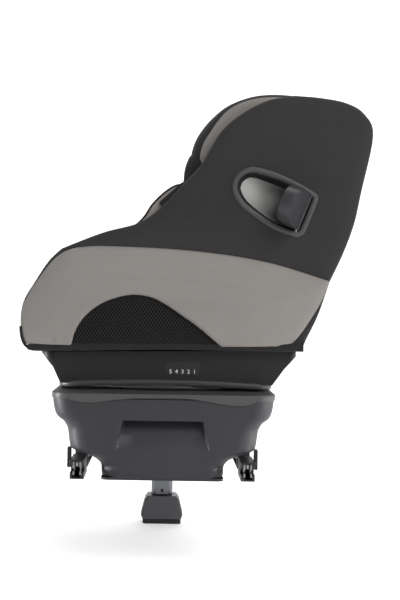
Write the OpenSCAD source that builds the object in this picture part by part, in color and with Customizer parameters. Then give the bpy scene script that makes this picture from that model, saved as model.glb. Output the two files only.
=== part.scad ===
// Convertible child car seat on a rotating base with anchor connectors and a support leg.
// Millimetres. Origin: swivel axis on the underside of the base. +Z up, base rear towards -Y, child facing -X.

/* [Base] */
// Width of the base across its top flange
base_w = 372; // [350:1:400]
// Distance from the swivel axis to the rear face of the base
base_rear = 280; // [260:1:310]
// Distance from the swivel axis to the front face of the base
base_front = 236; // [230:1:255]
// Height of the base from its underside to the top of its flange
base_h = 142; // [134:1:156]
// Wall thickness of the base tub
base_wall = 5; // [3:0.5:7]
// Height of the top flange
flange_h = 9; // [6:0.5:12]
// Thickness of the underside plate
plate_t = 4; // [3:0.5:6]

/* [Anchor connectors] */
// Distance between the two anchor connectors
anchor_pitch = 280; // [276:1:284]
// Half height of the anchor bar throat
anchor_r = 3.2; // [3.1:0.05:3.4]
// Width of one connector housing
connector_w = 23; // [20:0.5:26]
// Height of one connector housing
connector_h = 31; // [28:0.5:34]
// Side of the square connector arm
arm_s = 14; // [10:0.5:16]

/* [Support leg] */
// Width of the outer leg tube
leg_w = 43; // [38:0.5:46]
// Depth of the outer leg tube
leg_d = 30; // [26:0.5:34]
// Wall of the leg tubes
leg_wall = 2; // [1.5:0.25:3]
// Height of the leg hinge above the underside
leg_hinge_z = 40; // [34:1:44]
// Depth of the sole below the underside
sole_drop = 154; // [146:1:170]
// Width of the foot
foot_w = 85; // [76:1:90]
// Radius of the leg hinge pin
leg_pin_r = 5; // [4:0.25:6]

/* [Turntable] */
// Radius of the turntable rim
rim_r = 193; // [186:1:196]
// Height of the turntable rim
rim_h = 9.5; // [7:0.5:11]
// Radius of the turntable hub
hub_r = 120; // [100:1:130]
// Half width of the cradle bowl
bowl_half = 188; // [184:1:192]
// Thickness of the cradle cheeks
cheek_t = 4; // [3:0.5:6]

/* [Recline] */
// Radius of the recline slide under the seat shell
slide_r = 250; // [244:1:254]
// Height of the recline axis above the underside
recline_z = 425; // [420:1:432]
// Steps marked on the recline scale
recline_steps = 5; // [3:1:7]
// Spacing of the recline marks
mark_pitch = 10.3; // [9:0.1:11]

/* [Seat shell] */
// Outside half width of the shell walls
shell_half = 204; // [202:1:210]
// Thickness of the shell walls
shell_t = 8; // [6:0.5:10]
// Setback of the shell edge inside the fabric edge
shell_inset = 7; // [6:0.5:9]
// Angle of the back from upright
back_lean = 12; // [11:0.5:13]
// Rise of the seat pan towards the front
pan_rise = 6; // [5:0.5:7]

/* [Side pods] */
// Length of the pod window
pod_len = 147; // [144:1:152]
// Width of the pod window
pod_w = 86; // [82:1:90]
// Width of the bezel ring
bezel_t = 11; // [9:0.5:12]
// Opening angle of the near pod as stored
pod_open = 70; // [60:1:80]
// Radius of a pod hinge pin
pod_pin_r = 2; // [1.5:0.25:2.25]

/* [Cushions] */
// Thickness of the seat cushion at its edge
seat_pad_t = 24; // [18:1:28]
// Thickness of the back cushion at its edge
back_pad_t = 26; // [20:1:28]
// Crown of the cushions
crown = 9; // [6:1:10]
// Width of the harness webbing
web_w = 38; // [34:1:40]
// Thickness of the harness webbing
web_t = 2; // [1.5:0.1:2.5]

/* [Headrest] */
// Half width across the headrest wings
head_half = 160; // [154:1:164]
// Thickness of a headrest wing
head_wing_t = 34; // [28:1:36]

/* [Hidden] */
$fn = 64;
// Room left between pieces that move past each other
run_gap = 0.5;
// Room left between fixed pieces that meet
seat_gap = 0.3;
// Radial clearance of a pin in its bore
pin_clear = 0.06;

// Smooth open curve through points
function bend(a, b, c, d, t) =
    0.5 * (2 * b + (c - a) * t + (2 * a - 5 * b + 4 * c - d) * t * t + (3 * b - a - 3 * c + d) * t * t * t);
function curve(p, n = 3) = [
    for (i = [0 : len(p) - 2], k = [0 : n - 1])
        bend(p[max(i - 1, 0)], p[i], p[i + 1], p[min(i + 2, len(p) - 1)], k / n)
];
function backwards(p) = [for (i = [len(p) - 1 : -1 : 0]) p[i]];

// Side view of the seat, x and z: nose, front edge of the wing, rear edge and the seam between the two fabrics
nose_line = [[-226, 208], [-240, 225], [-245, 251], [-241, 290], [-224, 321], [-199, 360], [-177, 382]];
wing_line = [[-177, 382], [-108, 410], [-46, 428], [-6, 458], [29, 496], [57, 527], [75, 559], [95, 590],
    [130, 619], [172, 640], [216, 648]];
rear_line = [[216, 648], [259, 645], [303, 637], [334, 619], [350, 582], [331, 485], [320, 432], [302, 381],
    [280, 333]];
rear_low_line = [[280, 333], [261, 276], [241, 233], [235, 218]];
seam_line = [[280, 333], [168, 365], [39, 382], [-116, 387], [-177, 382]];
grey_rear_line = [[215, 226], [232, 243], [263, 293], [280, 333]];
mesh_line = [[-156, 228.4], [-152, 241], [-139, 263], [-119, 282], [-93, 296], [-55, 305], [-15, 298], [32, 269],
    [58, 251], [88, 228.4]];
side_outline = concat(curve(nose_line), curve(wing_line), curve(rear_line), curve(rear_low_line), [[235, 218]]);
wing_outline = concat(curve(wing_line), curve(rear_line), curve(seam_line));
grey_outline = concat(curve(nose_line), curve(backwards(seam_line)), curve(backwards(grey_rear_line)),
    [[215, 226]]);
mesh_outline = concat(curve(mesh_line), [[88, 228.4]]);

// Heights worked out from the base and the recline slide
flange_z = base_h - flange_h;
rim_z = base_h + 1.5;
bowl_z = rim_z + rim_h;
bowl_top_front = bowl_z + 52;
bowl_top_rear = bowl_z + 61;
cover_y = shell_half + seat_gap;
inner_half = bowl_half - cheek_t - 1;

// Base sections
body_half = base_w / 2 - 3;
keel_half = 101;
anchor_x = anchor_pitch / 2;
anchor_y = -base_rear + 10;
anchor_z = 2 + connector_h / 2;
leg_y = base_front - 30;
leg_top = leg_hinge_z + 12;
foot_top = -sole_drop + 56;
sole_t = 8;
sole_z = -sole_drop;

// Seat frame values
back_foot = [205, 236];
back_len = 396;
pan_rear = [212, 250];
front_edge = -205;
pan_len = (pan_rear[0] - front_edge - 9.3) / cos(pan_rise);
pod_x = 246;
pod_z = 442;
pod_turn = 159;
pod_hinge_u = 16;
pod_hinge_w = 12;
cup_depth = 30;
back_half = min(inner_half - 12, shell_half - cup_depth - 3);

// Solid swept along Y between two places from an outline in x and z
module between_y(y0, y1) {
    translate([0, y1, 0])
        rotate([90, 0, 0])
            linear_extrude(y1 - y0)
                children();
}

// The same, centred on the seat's middle plane
module across(half) {
    between_y(-half, half)
        children();
}

// A piece and its twin on the other side of the middle plane
module both_y() {
    children();
    mirror([0, 1, 0])
        children();
}

module both_x() {
    children();
    mirror([1, 0, 0])
        children();
}

// Flat rectangle with true round corners
module round_rect(w, d, r) {
    square([w - 2 * r, d], center = true);
    square([w, d - 2 * r], center = true);
    for (x = [-1, 1], y = [-1, 1])
        translate([x * (w / 2 - r), y * (d / 2 - r)])
            circle(r);
}

// Stuffed form on a closed outline: flat back at z = 0, rolled edge, crowned face
module stuffed(outline, middle, edge, rise) {
    rings = [[0.985, 0], [1, edge * 0.45], [0.985, edge * 0.85], [0.95, edge], [0.8, edge + rise * 0.45],
        [0.55, edge + rise * 0.8], [0.25, edge + rise * 0.97]];
    n = len(outline);
    last = (len(rings) - 1) * n;
    shell = [for (r = rings, p = outline) [each (middle + (p - middle) * r[0]), r[1]]];
    points = concat(shell, [[middle[0], middle[1], 0], [middle[0], middle[1], edge + rise]]);
    sides = [for (j = [0 : len(rings) - 2], i = [0 : n - 1], f = [0, 1])
        let (a = j * n + i, b = j * n + (i + 1) % n)
            f == 0 ? [a, a + n, b] : [b, a + n, b + n]];
    bottom = [for (i = [0 : n - 1]) [len(shell), i, (i + 1) % n]];
    top = [for (i = [0 : n - 1]) [len(shell) + 1, last + (i + 1) % n, last + i]];
    polyhedron(points, concat(sides, bottom, top));
}

// Rounded square outline, as seen from its face
function cushion_outline(w, l, power = 4, n = 40) = [
    for (i = [0 : n - 1])
        let (a = 360 * i / n, c = cos(a), s = sin(a))
            [sign(c) * pow(abs(c), 2 / power) * w / 2, sign(s) * pow(abs(s), 2 / power) * l / 2]
];

// Flat webbing along a route of points; wide is the direction across the webbing
module webbing(route, width, thick, wide = [0, 1, 0]) {
    n = len(route);
    function face(i) = let (c = cross(route[min(i + 1, n - 1)] - route[max(i - 1, 0)], wide)) c / norm(c);
    points = [for (i = [0 : n - 1])
        let (a = wide * width / 2, b = face(i) * thick / 2, p = route[i])
            each [p - a + b, p + a + b, p + a - b, p - a - b]];
    last = 4 * (n - 1);
    faces = concat(
        [for (i = [0 : n - 2], k = [0 : 3], f = [0, 1])
            let (a = 4 * i + k, b = 4 * i + (k + 1) % 4)
                f == 0 ? [a, b, a + 4] : [b, b + 4, a + 4]],
        [[0, 2, 1], [0, 3, 2], [last, last + 1, last + 2], [last, last + 2, last + 3]]);
    polyhedron(points, faces);
}

// Place in the frame of the back: z up the back, -x towards the child
module on_back() {
    translate([back_foot[0], 0, back_foot[1]])
        rotate([0, back_lean, 0])
            children();
}

// Place in the frame of the seat pan: -x towards the front, z out of the pan
module on_pan() {
    translate([pan_rear[0], 0, pan_rear[1]])
        rotate([0, pan_rise, 0])
            children();
}

// Place in the frame of the near pod window: x along the window, y down its width, z outwards
module on_pod() {
    translate([pod_x, -cover_y, pod_z])
        rotate([90, 0, 0])
            rotate([0, 0, pod_turn])
                children();
}

// Base outline, x and z, without the underside plate
module base_section(inset = 0) {
    h = body_half - inset;
    k = keel_half - inset;
    low = plate_t + (inset > 0 ? -1 : 0);
    high = flange_z - (inset > 0 ? 6 : 0);
    waist = anchor_x + 16 - inset;
    half = [[k, low], [k + 1, 22], [k + 9, 32 + inset], [k + 27, 40 + inset], [waist - 9, 47 + inset],
        [waist - 3, 53 + inset], [waist, 80], [waist + 7, 92], [waist + 21, 106],
        [h, min(131, high - 4)], [h, high]];
    polygon(concat(half, backwards([for (p = half) [-p[0], p[1]]])));
}

// Base outline seen from above
module base_plan(inset = 0) {
    mid = (base_front - base_rear) / 2;
    translate([0, mid])
        round_rect(base_w - 2 * inset, base_front + base_rear, 34);
}

module leg_slot_plan() {
    translate([-foot_w / 2 - 5.5, 5])
        square([foot_w + 11, base_front - base_wall - 5]);
}

module recess_wedge() {
    depth = 26;
    intersection() {
        between_y(-base_rear - 1, -base_rear + depth + 1)
            polygon([[-78, 48], [78, 48], [68, 98], [-68, 98]]);
        translate([-100, 0, 0])
            rotate([90, 0, 90])
                linear_extrude(200)
                    polygon([[-base_rear - 1, 46], [-base_rear, 48], [-base_rear + depth, 92],
                        [-base_rear + depth, 98], [-base_rear - 1, 98]]);
    }
}

module base_tub() {
    color([0.25, 0.25, 0.27])
        difference() {
            intersection() {
                between_y(-base_rear, base_front)
                    base_section();
                linear_extrude(base_h)
                    base_plan(3);
            }
            intersection() {
                between_y(-base_rear + 34, base_front - base_wall)
                    base_section(base_wall);
                linear_extrude(base_h)
                    base_plan(3 + base_wall);
            }
            recess_wedge();
            translate([0, 0, flange_z - 10])
                cylinder(r = hub_r + 2, h = 20);
            translate([-keel_half - 20, -150, anchor_z - arm_s / 2 - 3])
                cube([2 * keel_half + 40, 152, arm_s + 6]);
            both_x()
                plate_screw(0.1);
        }
}

module base_flange() {
    wave = [[-185, 131], [-148, 127], [-119, 129], [-86, 133], [-2, 137], [58, 135], [111, 128], [152, 125],
        [185, 131]];
    color([0.30, 0.29, 0.29])
        difference() {
            union() {
                translate([0, 0, flange_z])
                    linear_extrude(flange_h)
                        base_plan();
                between_y(-base_rear - 3, -base_rear)
                    polygon(concat([for (p = curve(wave, 3)) [p[0] * (base_w - 60) / 372, p[1] + base_h - 142]],
                        [[base_w / 2 - 34, flange_z - 1], [base_w / 2 - 34, base_h], [-base_w / 2 + 34, base_h]]));
            }
            translate([0, 0, flange_z - 1])
                cylinder(r = rim_r - 22, h = flange_h + 2);
            swivel_button_place()
                linear_extrude(2 * flange_h, center = true)
                    round_rect(button_len + 2 * run_gap, button_wide + 2 * run_gap, 6.5);
        }
}

module underside_plate() {
    color([0.16, 0.16, 0.17])
        difference() {
            linear_extrude(plate_t)
                difference() {
                    translate([0, (base_front - base_rear) / 2])
                        round_rect(2 * keel_half, base_front + base_rear - 6, 12);
                    leg_slot_plan();
                }
            both_x()
                plate_screw(0.1);
        }
}

// Countersunk screw through the underside plate, or the hole for it with some room
module plate_screw(room) {
    for (y = [-240, -190, 60, 190])
        translate([keel_half - base_wall / 2 - 0.3, y, 0]) {
            translate([0, 0, 0.4 - 4 * room])
                cylinder(r = 1.9 + room, h = 2 + 4 * room);
            translate([0, 0, 2])
                cylinder(r = 1.2 + room, h = 12 + room);
        }
}

module plate_screws() {
    color("silver")
        both_x()
            plate_screw(0);
}

module bearing_ring() {
    color([0.62, 0.63, 0.65])
        translate([0, 0, flange_z])
            difference() {
                cylinder(r = hub_r + 30, h = flange_h - 2, $fn = 96);
                translate([0, 0, -1])
                    cylinder(r = hub_r + pin_clear, h = flange_h + 2, $fn = 96);
            }
}

module guide_rails() {
    color([0.55, 0.56, 0.58])
        both_x()
            difference() {
                translate([anchor_x - arm_s / 2 - 4, -170, anchor_z - arm_s / 2 - 4])
                    cube([arm_s + 8, 250, arm_s + 26]);
                between_y(-base_rear - 1, base_front)
                    base_section();
                translate([anchor_x - arm_s / 2 - run_gap, -180, anchor_z - arm_s / 2 - run_gap])
                    cube([arm_s + 2 * run_gap, 300, arm_s + 2 * run_gap]);
                translate([0, -150, anchor_z - arm_s / 2 - run_gap])
                    cube([anchor_x, 152, arm_s + 2 * run_gap]);
            }
}

module anchor_arms() {
    color([0.6, 0.61, 0.63])
        both_x()
            translate([anchor_x - arm_s / 2, anchor_y + 58, anchor_z - arm_s / 2])
                cube([arm_s, base_rear - 68, arm_s]);
}

// Bar welded between the two arms so that they slide together
module crossbar() {
    half = anchor_x - arm_s / 2;
    color([0.55, 0.56, 0.58])
        translate([-half, -arm_s, anchor_z - arm_s / 2])
            cube([2 * half, arm_s, arm_s]);
}

// Plastic housing of one connector, with its open mouth towards the rear
module connector() {
    y0 = -base_rear - 8;
    difference() {
        translate([anchor_x - connector_w / 2, y0, 2])
            cube([connector_w, 88, connector_h]);
        translate([anchor_x - connector_w, y0 - 1, anchor_z - 4.5])
            cube([2 * connector_w, 27, 9]);
        translate([anchor_x - 7, y0 - 1, 5])
            cube([14, 63, connector_h - 6]);
        translate([anchor_x - arm_s / 2, anchor_y + 58, anchor_z - arm_s / 2])
            cube([arm_s, 60, arm_s]);
    }
}

module connectors() {
    color([0.1, 0.1, 0.11])
        both_x()
            connector();
}

hook_y = anchor_y + 26;
hook_z = anchor_z + 8;
hook_pin_r = 2.5;

// Pair of steel jaw plates with the square throat that takes the anchor bar
module jaw_pair() {
    for (x = [-6.7, 4.2])
        translate([anchor_x + x, 0, 0])
            rotate([90, 0, 90])
                linear_extrude(2.5)
                    difference() {
                        translate([anchor_y - 14, anchor_z - 9.5])
                            square([57, 21.7]);
                        translate([anchor_y - 20, anchor_z - anchor_r])
                            square([20 + anchor_r, 2 * anchor_r]);
                        translate([hook_y, hook_z])
                            circle(hook_pin_r);
                    }
}

module jaw_plates() {
    color("silver")
        both_x()
            jaw_pair();
}

module hook_pins() {
    color("gray")
        both_x()
            translate([anchor_x - 6.9, hook_y, hook_z])
                rotate([0, 90, 0])
                    cylinder(r = hook_pin_r, h = 13.8);
}

// Latch hook of one connector, stored cocked open above the throat
module jaw_hook() {
    translate([anchor_x - 2, 0, 0])
        rotate([90, 0, 90])
            linear_extrude(4)
                difference() {
                    union() {
                        translate([hook_y, hook_z])
                            circle(4);
                        translate([anchor_y - 11, hook_z - 3.5])
                            square([hook_y - anchor_y + 11, 7]);
                    }
                    translate([anchor_y - 4.5, hook_z - 3.6])
                        square([9, 3.6]);
                    translate([hook_y, hook_z])
                        circle(hook_pin_r + pin_clear);
                }
}

module jaw_hook_right() {
    color("dimgray")
        jaw_hook();
}

module jaw_hook_left() {
    color("dimgray")
        mirror([1, 0, 0])
            jaw_hook();
}

// Finger loop that frees one connector
module release_lever() {
    x0 = anchor_x + connector_w / 2 + run_gap;
    y0 = anchor_y + 10;
    translate([x0, 0, 0])
        rotate([90, 0, 90])
            linear_extrude(6)
                difference() {
                    translate([y0, anchor_z])
                        square([20, 33]);
                    translate([y0 + 5, anchor_z + 18])
                        square([10, 11]);
                }
}

module release_lever_right() {
    color([0.08, 0.08, 0.09])
        release_lever();
}

module release_lever_left() {
    color([0.08, 0.08, 0.09])
        mirror([1, 0, 0])
            release_lever();
}

module leg_bracket() {
    color([0.5, 0.51, 0.53])
        both_x()
            difference() {
                translate([leg_w / 2 + 1, leg_y - 14, leg_hinge_z - 14])
                    cube([5, base_front - base_wall - leg_y + 14, 30]);
                translate([0, leg_y, leg_hinge_z])
                    rotate([0, 90, 0])
                        cylinder(r = leg_pin_r, h = leg_w);
            }
}

module leg_pin() {
    color("silver")
        translate([-leg_w / 2 - 7, leg_y, leg_hinge_z])
            rotate([0, 90, 0])
                cylinder(r = leg_pin_r, h = leg_w + 14);
}

module leg_outer_tube() {
    color([0.5, 0.52, 0.54])
        difference() {
            translate([0, leg_y, foot_top + 1])
                linear_extrude(leg_top - foot_top - 1)
                    difference() {
                        round_rect(leg_w, leg_d, 9);
                        round_rect(leg_w - 2 * leg_wall, leg_d - 2 * leg_wall, 9 - leg_wall);
                    }
            translate([-leg_w, leg_y, leg_hinge_z])
                rotate([0, 90, 0])
                    cylinder(r = leg_pin_r + pin_clear, h = 2 * leg_w);
            translate([0, leg_y, foot_top + 9])
                rotate([90, 0, 0])
                    cylinder(r = 3, h = leg_d);
        }
}

leg_in_w = leg_w - 2 * leg_wall - 1;
leg_in_d = leg_d - 2 * leg_wall - 1;

module leg_inner_tube() {
    color([0.6, 0.62, 0.64])
        translate([0, leg_y, foot_top])
            linear_extrude(leg_hinge_z - 12 - foot_top)
                difference() {
                    round_rect(leg_in_w, leg_in_d, 6.5);
                    round_rect(leg_in_w - 2 * leg_wall, leg_in_d - 2 * leg_wall, 6.5 - leg_wall);
                }
}

button_r = 7;
button_z = foot_top + 26;

module leg_button_housing() {
    color([0.15, 0.15, 0.16])
        difference() {
            translate([-14, leg_y + leg_d / 2, button_z - 16])
                cube([28, 9, 32]);
            translate([0, leg_y + leg_d / 2 + 2, button_z])
                rotate([-90, 0, 0])
                    cylinder(r = button_r + 0.1, h = 20);
        }
}

module leg_button() {
    color([0.45, 0.45, 0.47])
        translate([0, leg_y + leg_d / 2 + 5.5, button_z])
            rotate([-90, 0, 0])
                cylinder(r = button_r, h = 5.5);
}

module foot() {
    hw = foot_w / 2;
    neck = hw - 8;
    color([0.28, 0.28, 0.3])
        between_y(leg_y - 30, leg_y + 30)
            polygon([[-hw + 4, sole_z + sole_t], [-hw, sole_z + 18], [-neck, foot_top - 7], [-neck + 6, foot_top],
                [neck - 6, foot_top], [neck, foot_top - 7], [hw, sole_z + 18], [hw - 4, sole_z + sole_t]]);
}

module foot_sole() {
    color([0.12, 0.12, 0.12])
        translate([0, leg_y, sole_z])
            linear_extrude(sole_t)
                round_rect(foot_w - 8, 58, 8);
}

button_len = 46;
button_wide = 14;

module swivel_button_place() {
    translate([0, base_front - 14, base_h - 5])
        children();
}

// Push button on the base flange that frees the swivel
module swivel_button() {
    color([0.45, 0.45, 0.46])
        swivel_button_place()
            linear_extrude(8)
                round_rect(button_len, button_wide, 6);
}

module turntable() {
    color([0.2, 0.2, 0.21])
        difference() {
            union() {
                translate([0, 0, rim_z])
                    cylinder(r = hub_r + 28, h = rim_h, $fn = 96);
                translate([0, 0, flange_z - 12])
                    cylinder(r = hub_r, h = rim_z - flange_z + 13, $fn = 96);
            }
            translate([0, 0, flange_z - 20])
                cylinder(r = hub_r - 12, h = 40 + rim_h, $fn = 96);
        }
}

// Ring under the deck that keeps the turntable from lifting off
module retainer_ring() {
    color([0.35, 0.35, 0.37])
        translate([0, 0, flange_z - 18])
            difference() {
                cylinder(r = hub_r + 14, h = 6, $fn = 96);
                translate([0, 0, -1])
                    cylinder(r = hub_r - 12, h = 8, $fn = 96);
            }
}

module turntable_rim() {
    color([0.33, 0.33, 0.35])
        translate([0, 0, rim_z])
            difference() {
                union() {
                    cylinder(r = rim_r, h = rim_h - 3, $fn = 128);
                    cylinder(r = rim_r - 3, h = rim_h, $fn = 128);
                }
                translate([0, 0, -1])
                    cylinder(r = hub_r + 28, h = rim_h + 2, $fn = 128);
            }
}

// Side view of the cradle bowl, x and z
module bowl_section() {
    polygon([[-212, bowl_top_front], [-190, bowl_z + 26], [-178, bowl_z], [186, bowl_z], [206, bowl_z + 28],
        [236, bowl_top_rear]]);
}

scale_x = 32;
scale_w = 64;
scale_h = 23;
scale_z = bowl_z + 16;
swing_x = 122;
swing_floor = 5;

// Cylinder about the recline axis
module recline_drum(r, half) {
    translate([0, half, recline_z])
        rotate([90, 0, 0])
            cylinder(r = r, h = 2 * half, $fn = 360);
}

// Room for the rear of the shell, which swings down as the seat leans back
module rear_swing(half) {
    translate([swing_x, -half, bowl_z + swing_floor])
        cube([150, 2 * half, 100]);
}

module cradle_bowl() {
    color([0.21, 0.21, 0.23])
        difference() {
            intersection() {
                across(bowl_half)
                    bowl_section();
                translate([12, 0, 0])
                    linear_extrude(recline_z)
                        round_rect(450, 2 * bowl_half, 24);
            }
            recline_drum(slide_r + 2, bowl_half - cheek_t);
            rear_swing(bowl_half - cheek_t);
            both_y()
                translate([scale_x - scale_w / 2, -bowl_half - 1, scale_z])
                    cube([scale_w, 3, scale_h]);
        }
}

// Scale plate with one raised tab for each recline step
module scale_plate() {
    difference() {
        translate([scale_x - scale_w / 2 + seat_gap, -bowl_half + 0.8, scale_z + seat_gap])
            cube([scale_w - 2 * seat_gap, 1.2, scale_h - 2 * seat_gap]);
        for (i = [0 : recline_steps - 1])
            translate([scale_x + (i - (recline_steps - 1) / 2) * mark_pitch - 1, -bowl_half, scale_z + 16])
                cube([2, 1.2, 4]);
    }
}

module scale_plates() {
    color([0.12, 0.12, 0.13])
        both_y()
            scale_plate();
}

// Flat region at the rear of the seat's side view
module rear_region() {
    function at(s) = [back_foot[0] + s * sin(back_lean) - 2, back_foot[1] + s * cos(back_lean)];
    polygon([[222, 216], [380, 216], [420, 700], at(475), at(60)]);
}

// Rear wall of the seat between two insets, narrowed below so that it passes inside the cradle cheeks
module rear_band(outer, inner, half) {
    module band() {
        difference() {
            side_shape(outer);
            side_shape(inner);
        }
    }
    across(inner_half)
        intersection() {
            rear_region();
            band();
        }
    across(half)
        intersection() {
            rear_region();
            band();
            translate([0, 278])
                square(1000);
        }
}

module side_shape(inset) {
    offset(delta = -inset)
        polygon(side_outline);
}

// Closed side view of the pod window, along x from the hinge end
function pod_outline(shrink, n = 16) = concat(
    [[shrink, -pod_w / 2 + shrink]],
    [for (i = [0 : n]) let (a = 180 * i / n - 90)
        [pod_len - pod_w / 2 + cos(a) * (pod_w / 2 - shrink), sin(a) * (pod_w / 2 - shrink)]],
    [[shrink, pod_w / 2 - shrink]]);

module pod_shape(shrink) {
    r = pod_w / 2 - shrink;
    translate([pod_len - pod_w / 2, 0])
        circle(r);
    translate([shrink, -r])
        square([pod_len - pod_w / 2 - shrink, 2 * r]);
}

module seat_shell() {
    color([0.15, 0.15, 0.16])
        difference() {
            union() {
                both_y()
                    between_y(-shell_half, -shell_half + shell_t)
                        side_shape(shell_inset);
                rear_band(shell_inset, shell_inset + 10, shell_half - shell_t);
                on_back() {
                    translate([0, -inner_half, 0])
                        cube([6, 2 * inner_half, back_len]);
                    translate([0, -shell_half + shell_t, 50])
                        cube([6, 2 * (shell_half - shell_t), back_len - 50]);
                }
                on_pan() {
                    translate([-pan_len, -inner_half, -8])
                        cube([pan_len, 2 * inner_half, 8]);
                    translate([-pan_len, -shell_half + shell_t, -8])
                        cube([pan_len - 125, 2 * (shell_half - shell_t), 8]);
                }
                intersection() {
                    difference() {
                        recline_drum(slide_r, inner_half);
                        recline_drum(slide_r - 8, bowl_half);
                    }
                    on_pan()
                        translate([-pan_len, -bowl_half, -200])
                            cube([pan_len - 36, 2 * bowl_half, 200 - 8]);
                }
            }
            both_y()
                on_pod()
                    translate([0, 0, -shell_t - 10])
                        linear_extrude(shell_t + 20)
                            pod_shape(5);
        }
}

module wing_cover() {
    difference() {
        translate([0, -cover_y, 0])
            rotate([90, 0, 0])
                stuffed(wing_outline, [190, 470], 7, 8);
        on_pod()
            translate([0, 0, -5])
                linear_extrude(60)
                    polygon(pod_outline(-seat_gap));
    }
}

module wing_cover_left() {
    color([0.22, 0.21, 0.22])
        wing_cover();
}

module wing_cover_right() {
    color([0.22, 0.21, 0.22])
        mirror([0, 1, 0])
            wing_cover();
}

module side_panel() {
    difference() {
        translate([0, -cover_y, 0])
            rotate([90, 0, 0])
                stuffed(grey_outline, [10, 310], 7, 9);
        between_y(-cover_y - 40, -cover_y + 1)
            offset(delta = seat_gap)
                polygon(mesh_outline);
        translate([-260, -cover_y - 20, 190])
            cube([520, 30, 38]);
    }
}

module side_panel_left() {
    color([0.55, 0.53, 0.51])
        side_panel();
}

module side_panel_right() {
    color([0.55, 0.53, 0.51])
        mirror([0, 1, 0])
            side_panel();
}

module mesh_panel() {
    translate([0, -cover_y, 0])
        rotate([90, 0, 0])
            stuffed(mesh_outline, [-40, 255], 10, 5);
}

module mesh_panels() {
    color([0.08, 0.08, 0.08])
        both_y()
            mesh_panel();
}

// Binding sewn along the lower edge of the cover, on both sides
module hem_binding() {
    color([0.1, 0.1, 0.1])
        both_y()
            between_y(-cover_y - 9, -cover_y)
                polygon([[-232, 213], [-222, 207], [236, 218], [233, 232], [222, 227.6], [-238, 227.6]]);
}

module back_cover() {
    color([0.21, 0.2, 0.21])
        rear_band(0, shell_inset - seat_gap, shell_half);
}

// Padded front edge under the child's knees
module front_panel() {
    color([0.53, 0.51, 0.49])
        difference() {
            across(shell_half - shell_t - seat_gap)
                translate([front_edge, 0])
                    polygon(concat(curve([[-21, 212], [-37, 228], [-42, 256], [-35, 288], [-17, 301], [0, 300]]),
                        [[0, 300], [5, 280], [0, 212]]));
            adjuster_box(0);
        }
}

// Bezel ring round one pod window, with bores for the hinge pin
module pod_bezel() {
    on_pod()
        difference() {
            translate([0, 0, -seat_gap])
                linear_extrude(16.8)
                    difference() {
                        pod_shape(0);
                        pod_shape(bezel_t);
                    }
            pod_axis(pod_pin_r, pod_w / 2 - 5);
        }
}

// Round rod on the pod hinge, of a radius and half length
module pod_axis(r, half) {
    translate([pod_hinge_u, half, pod_hinge_w])
        rotate([90, 0, 0])
            cylinder(r = r, h = 2 * half);
}

module pod_bezels() {
    color([0.37, 0.37, 0.38])
        both_y()
            pod_bezel();
}

// Scoop behind one pod window
module pod_cup() {
    on_pod()
        translate([0, 0, -cup_depth])
            difference() {
                linear_extrude(cup_depth - seat_gap)
                    pod_shape(5 + seat_gap);
                translate([0, 0, 2.5])
                    linear_extrude(cup_depth)
                        pod_shape(8);
            }
}

module pod_cups() {
    color([0.3, 0.3, 0.31])
        both_y()
            pod_cup();
}

module pod_pins() {
    color("silver")
        both_y()
            on_pod()
                pod_axis(pod_pin_r, pod_w / 2 - 5);
}

// Hinged side-impact flap, turned out of its window by an angle
module pod(angle) {
    half = pod_w / 2 - bezel_t - 1.2;
    reach = 84;
    on_pod()
        translate([pod_hinge_u, 0, pod_hinge_w])
            rotate([0, -angle, 0])
                difference() {
                    union() {
                        translate([0, 0, -20])
                            linear_extrude(23) {
                                translate([reach - half, 0])
                                    circle(half);
                                translate([0, -half])
                                    square([reach - half, 2 * half]);
                            }
                        translate([0, half, 0])
                            rotate([90, 0, 0])
                                cylinder(r = 4.5, h = 2 * half);
                    }
                    translate([0, half + 1, 0])
                        rotate([90, 0, 0])
                            cylinder(r = pod_pin_r + pin_clear, h = 2 * half + 2);
                }
}

module pod_left() {
    color([0.2, 0.2, 0.21])
        pod(pod_open);
}

module pod_right() {
    color([0.2, 0.2, 0.21])
        mirror([0, 1, 0])
            pod(0);
}

crotch_x = 197;
crotch_slot = 5;

module seat_cushion() {
    color([0.24, 0.23, 0.24])
        on_pan()
            difference() {
                translate([-222, 0, seat_gap])
                    stuffed(cushion_outline(350, 2 * inner_half), [0, 0], seat_pad_t, crown);
                translate([-crotch_x - crotch_slot / 2, -web_w / 2 - 2, -5])
                    cube([crotch_slot, web_w + 4, 80]);
            }
}

module back_cushion() {
    low = 57;
    high = head_low - 13;
    color([0.24, 0.23, 0.24])
        on_back()
            translate([-seat_gap, 0, (low + high) / 2])
                rotate([0, -90, 0])
                    stuffed(cushion_outline(high - low, 2 * back_half), [0, 0], back_pad_t, crown);
}

bolster_line = [[-110, 318], [-118, 350], [-95, 396], [-47, 432], [-23, 460], [2, 483], [25, 493], [56, 480],
    [88, 430], [92, 372], [60, 326], [-20, 312], [-110, 318]];

// Stuffed roll inside one side wall
module side_bolster() {
    translate([0, -shell_half + shell_t + seat_gap, 0])
        mirror([0, 1, 0])
            rotate([90, 0, 0])
                stuffed(curve(bolster_line, 4), [0, 400], 13, 8);
}

module side_bolsters() {
    color([0.5, 0.49, 0.48])
        both_y()
            side_bolster();
}

// Clip on the wing edge that holds a shoulder strap out of the way, one on each side
module harness_keepers() {
    color([0.08, 0.08, 0.08])
        both_y()
            between_y(-shell_half + seat_gap, -shell_half + shell_t - seat_gap)
                difference() {
                    translate([12.6, 475])
                        rotate(40)
                            square([50, 11], center = true);
                    side_shape(shell_inset);
                }
}

head_high = back_len + 4;
head_low = head_high - 144;

module headrest_frame() {
    color([0.14, 0.14, 0.15])
        on_back()
            translate([-22, -150, head_low])
                cube([8, 300, head_high - head_low]);
}

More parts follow.
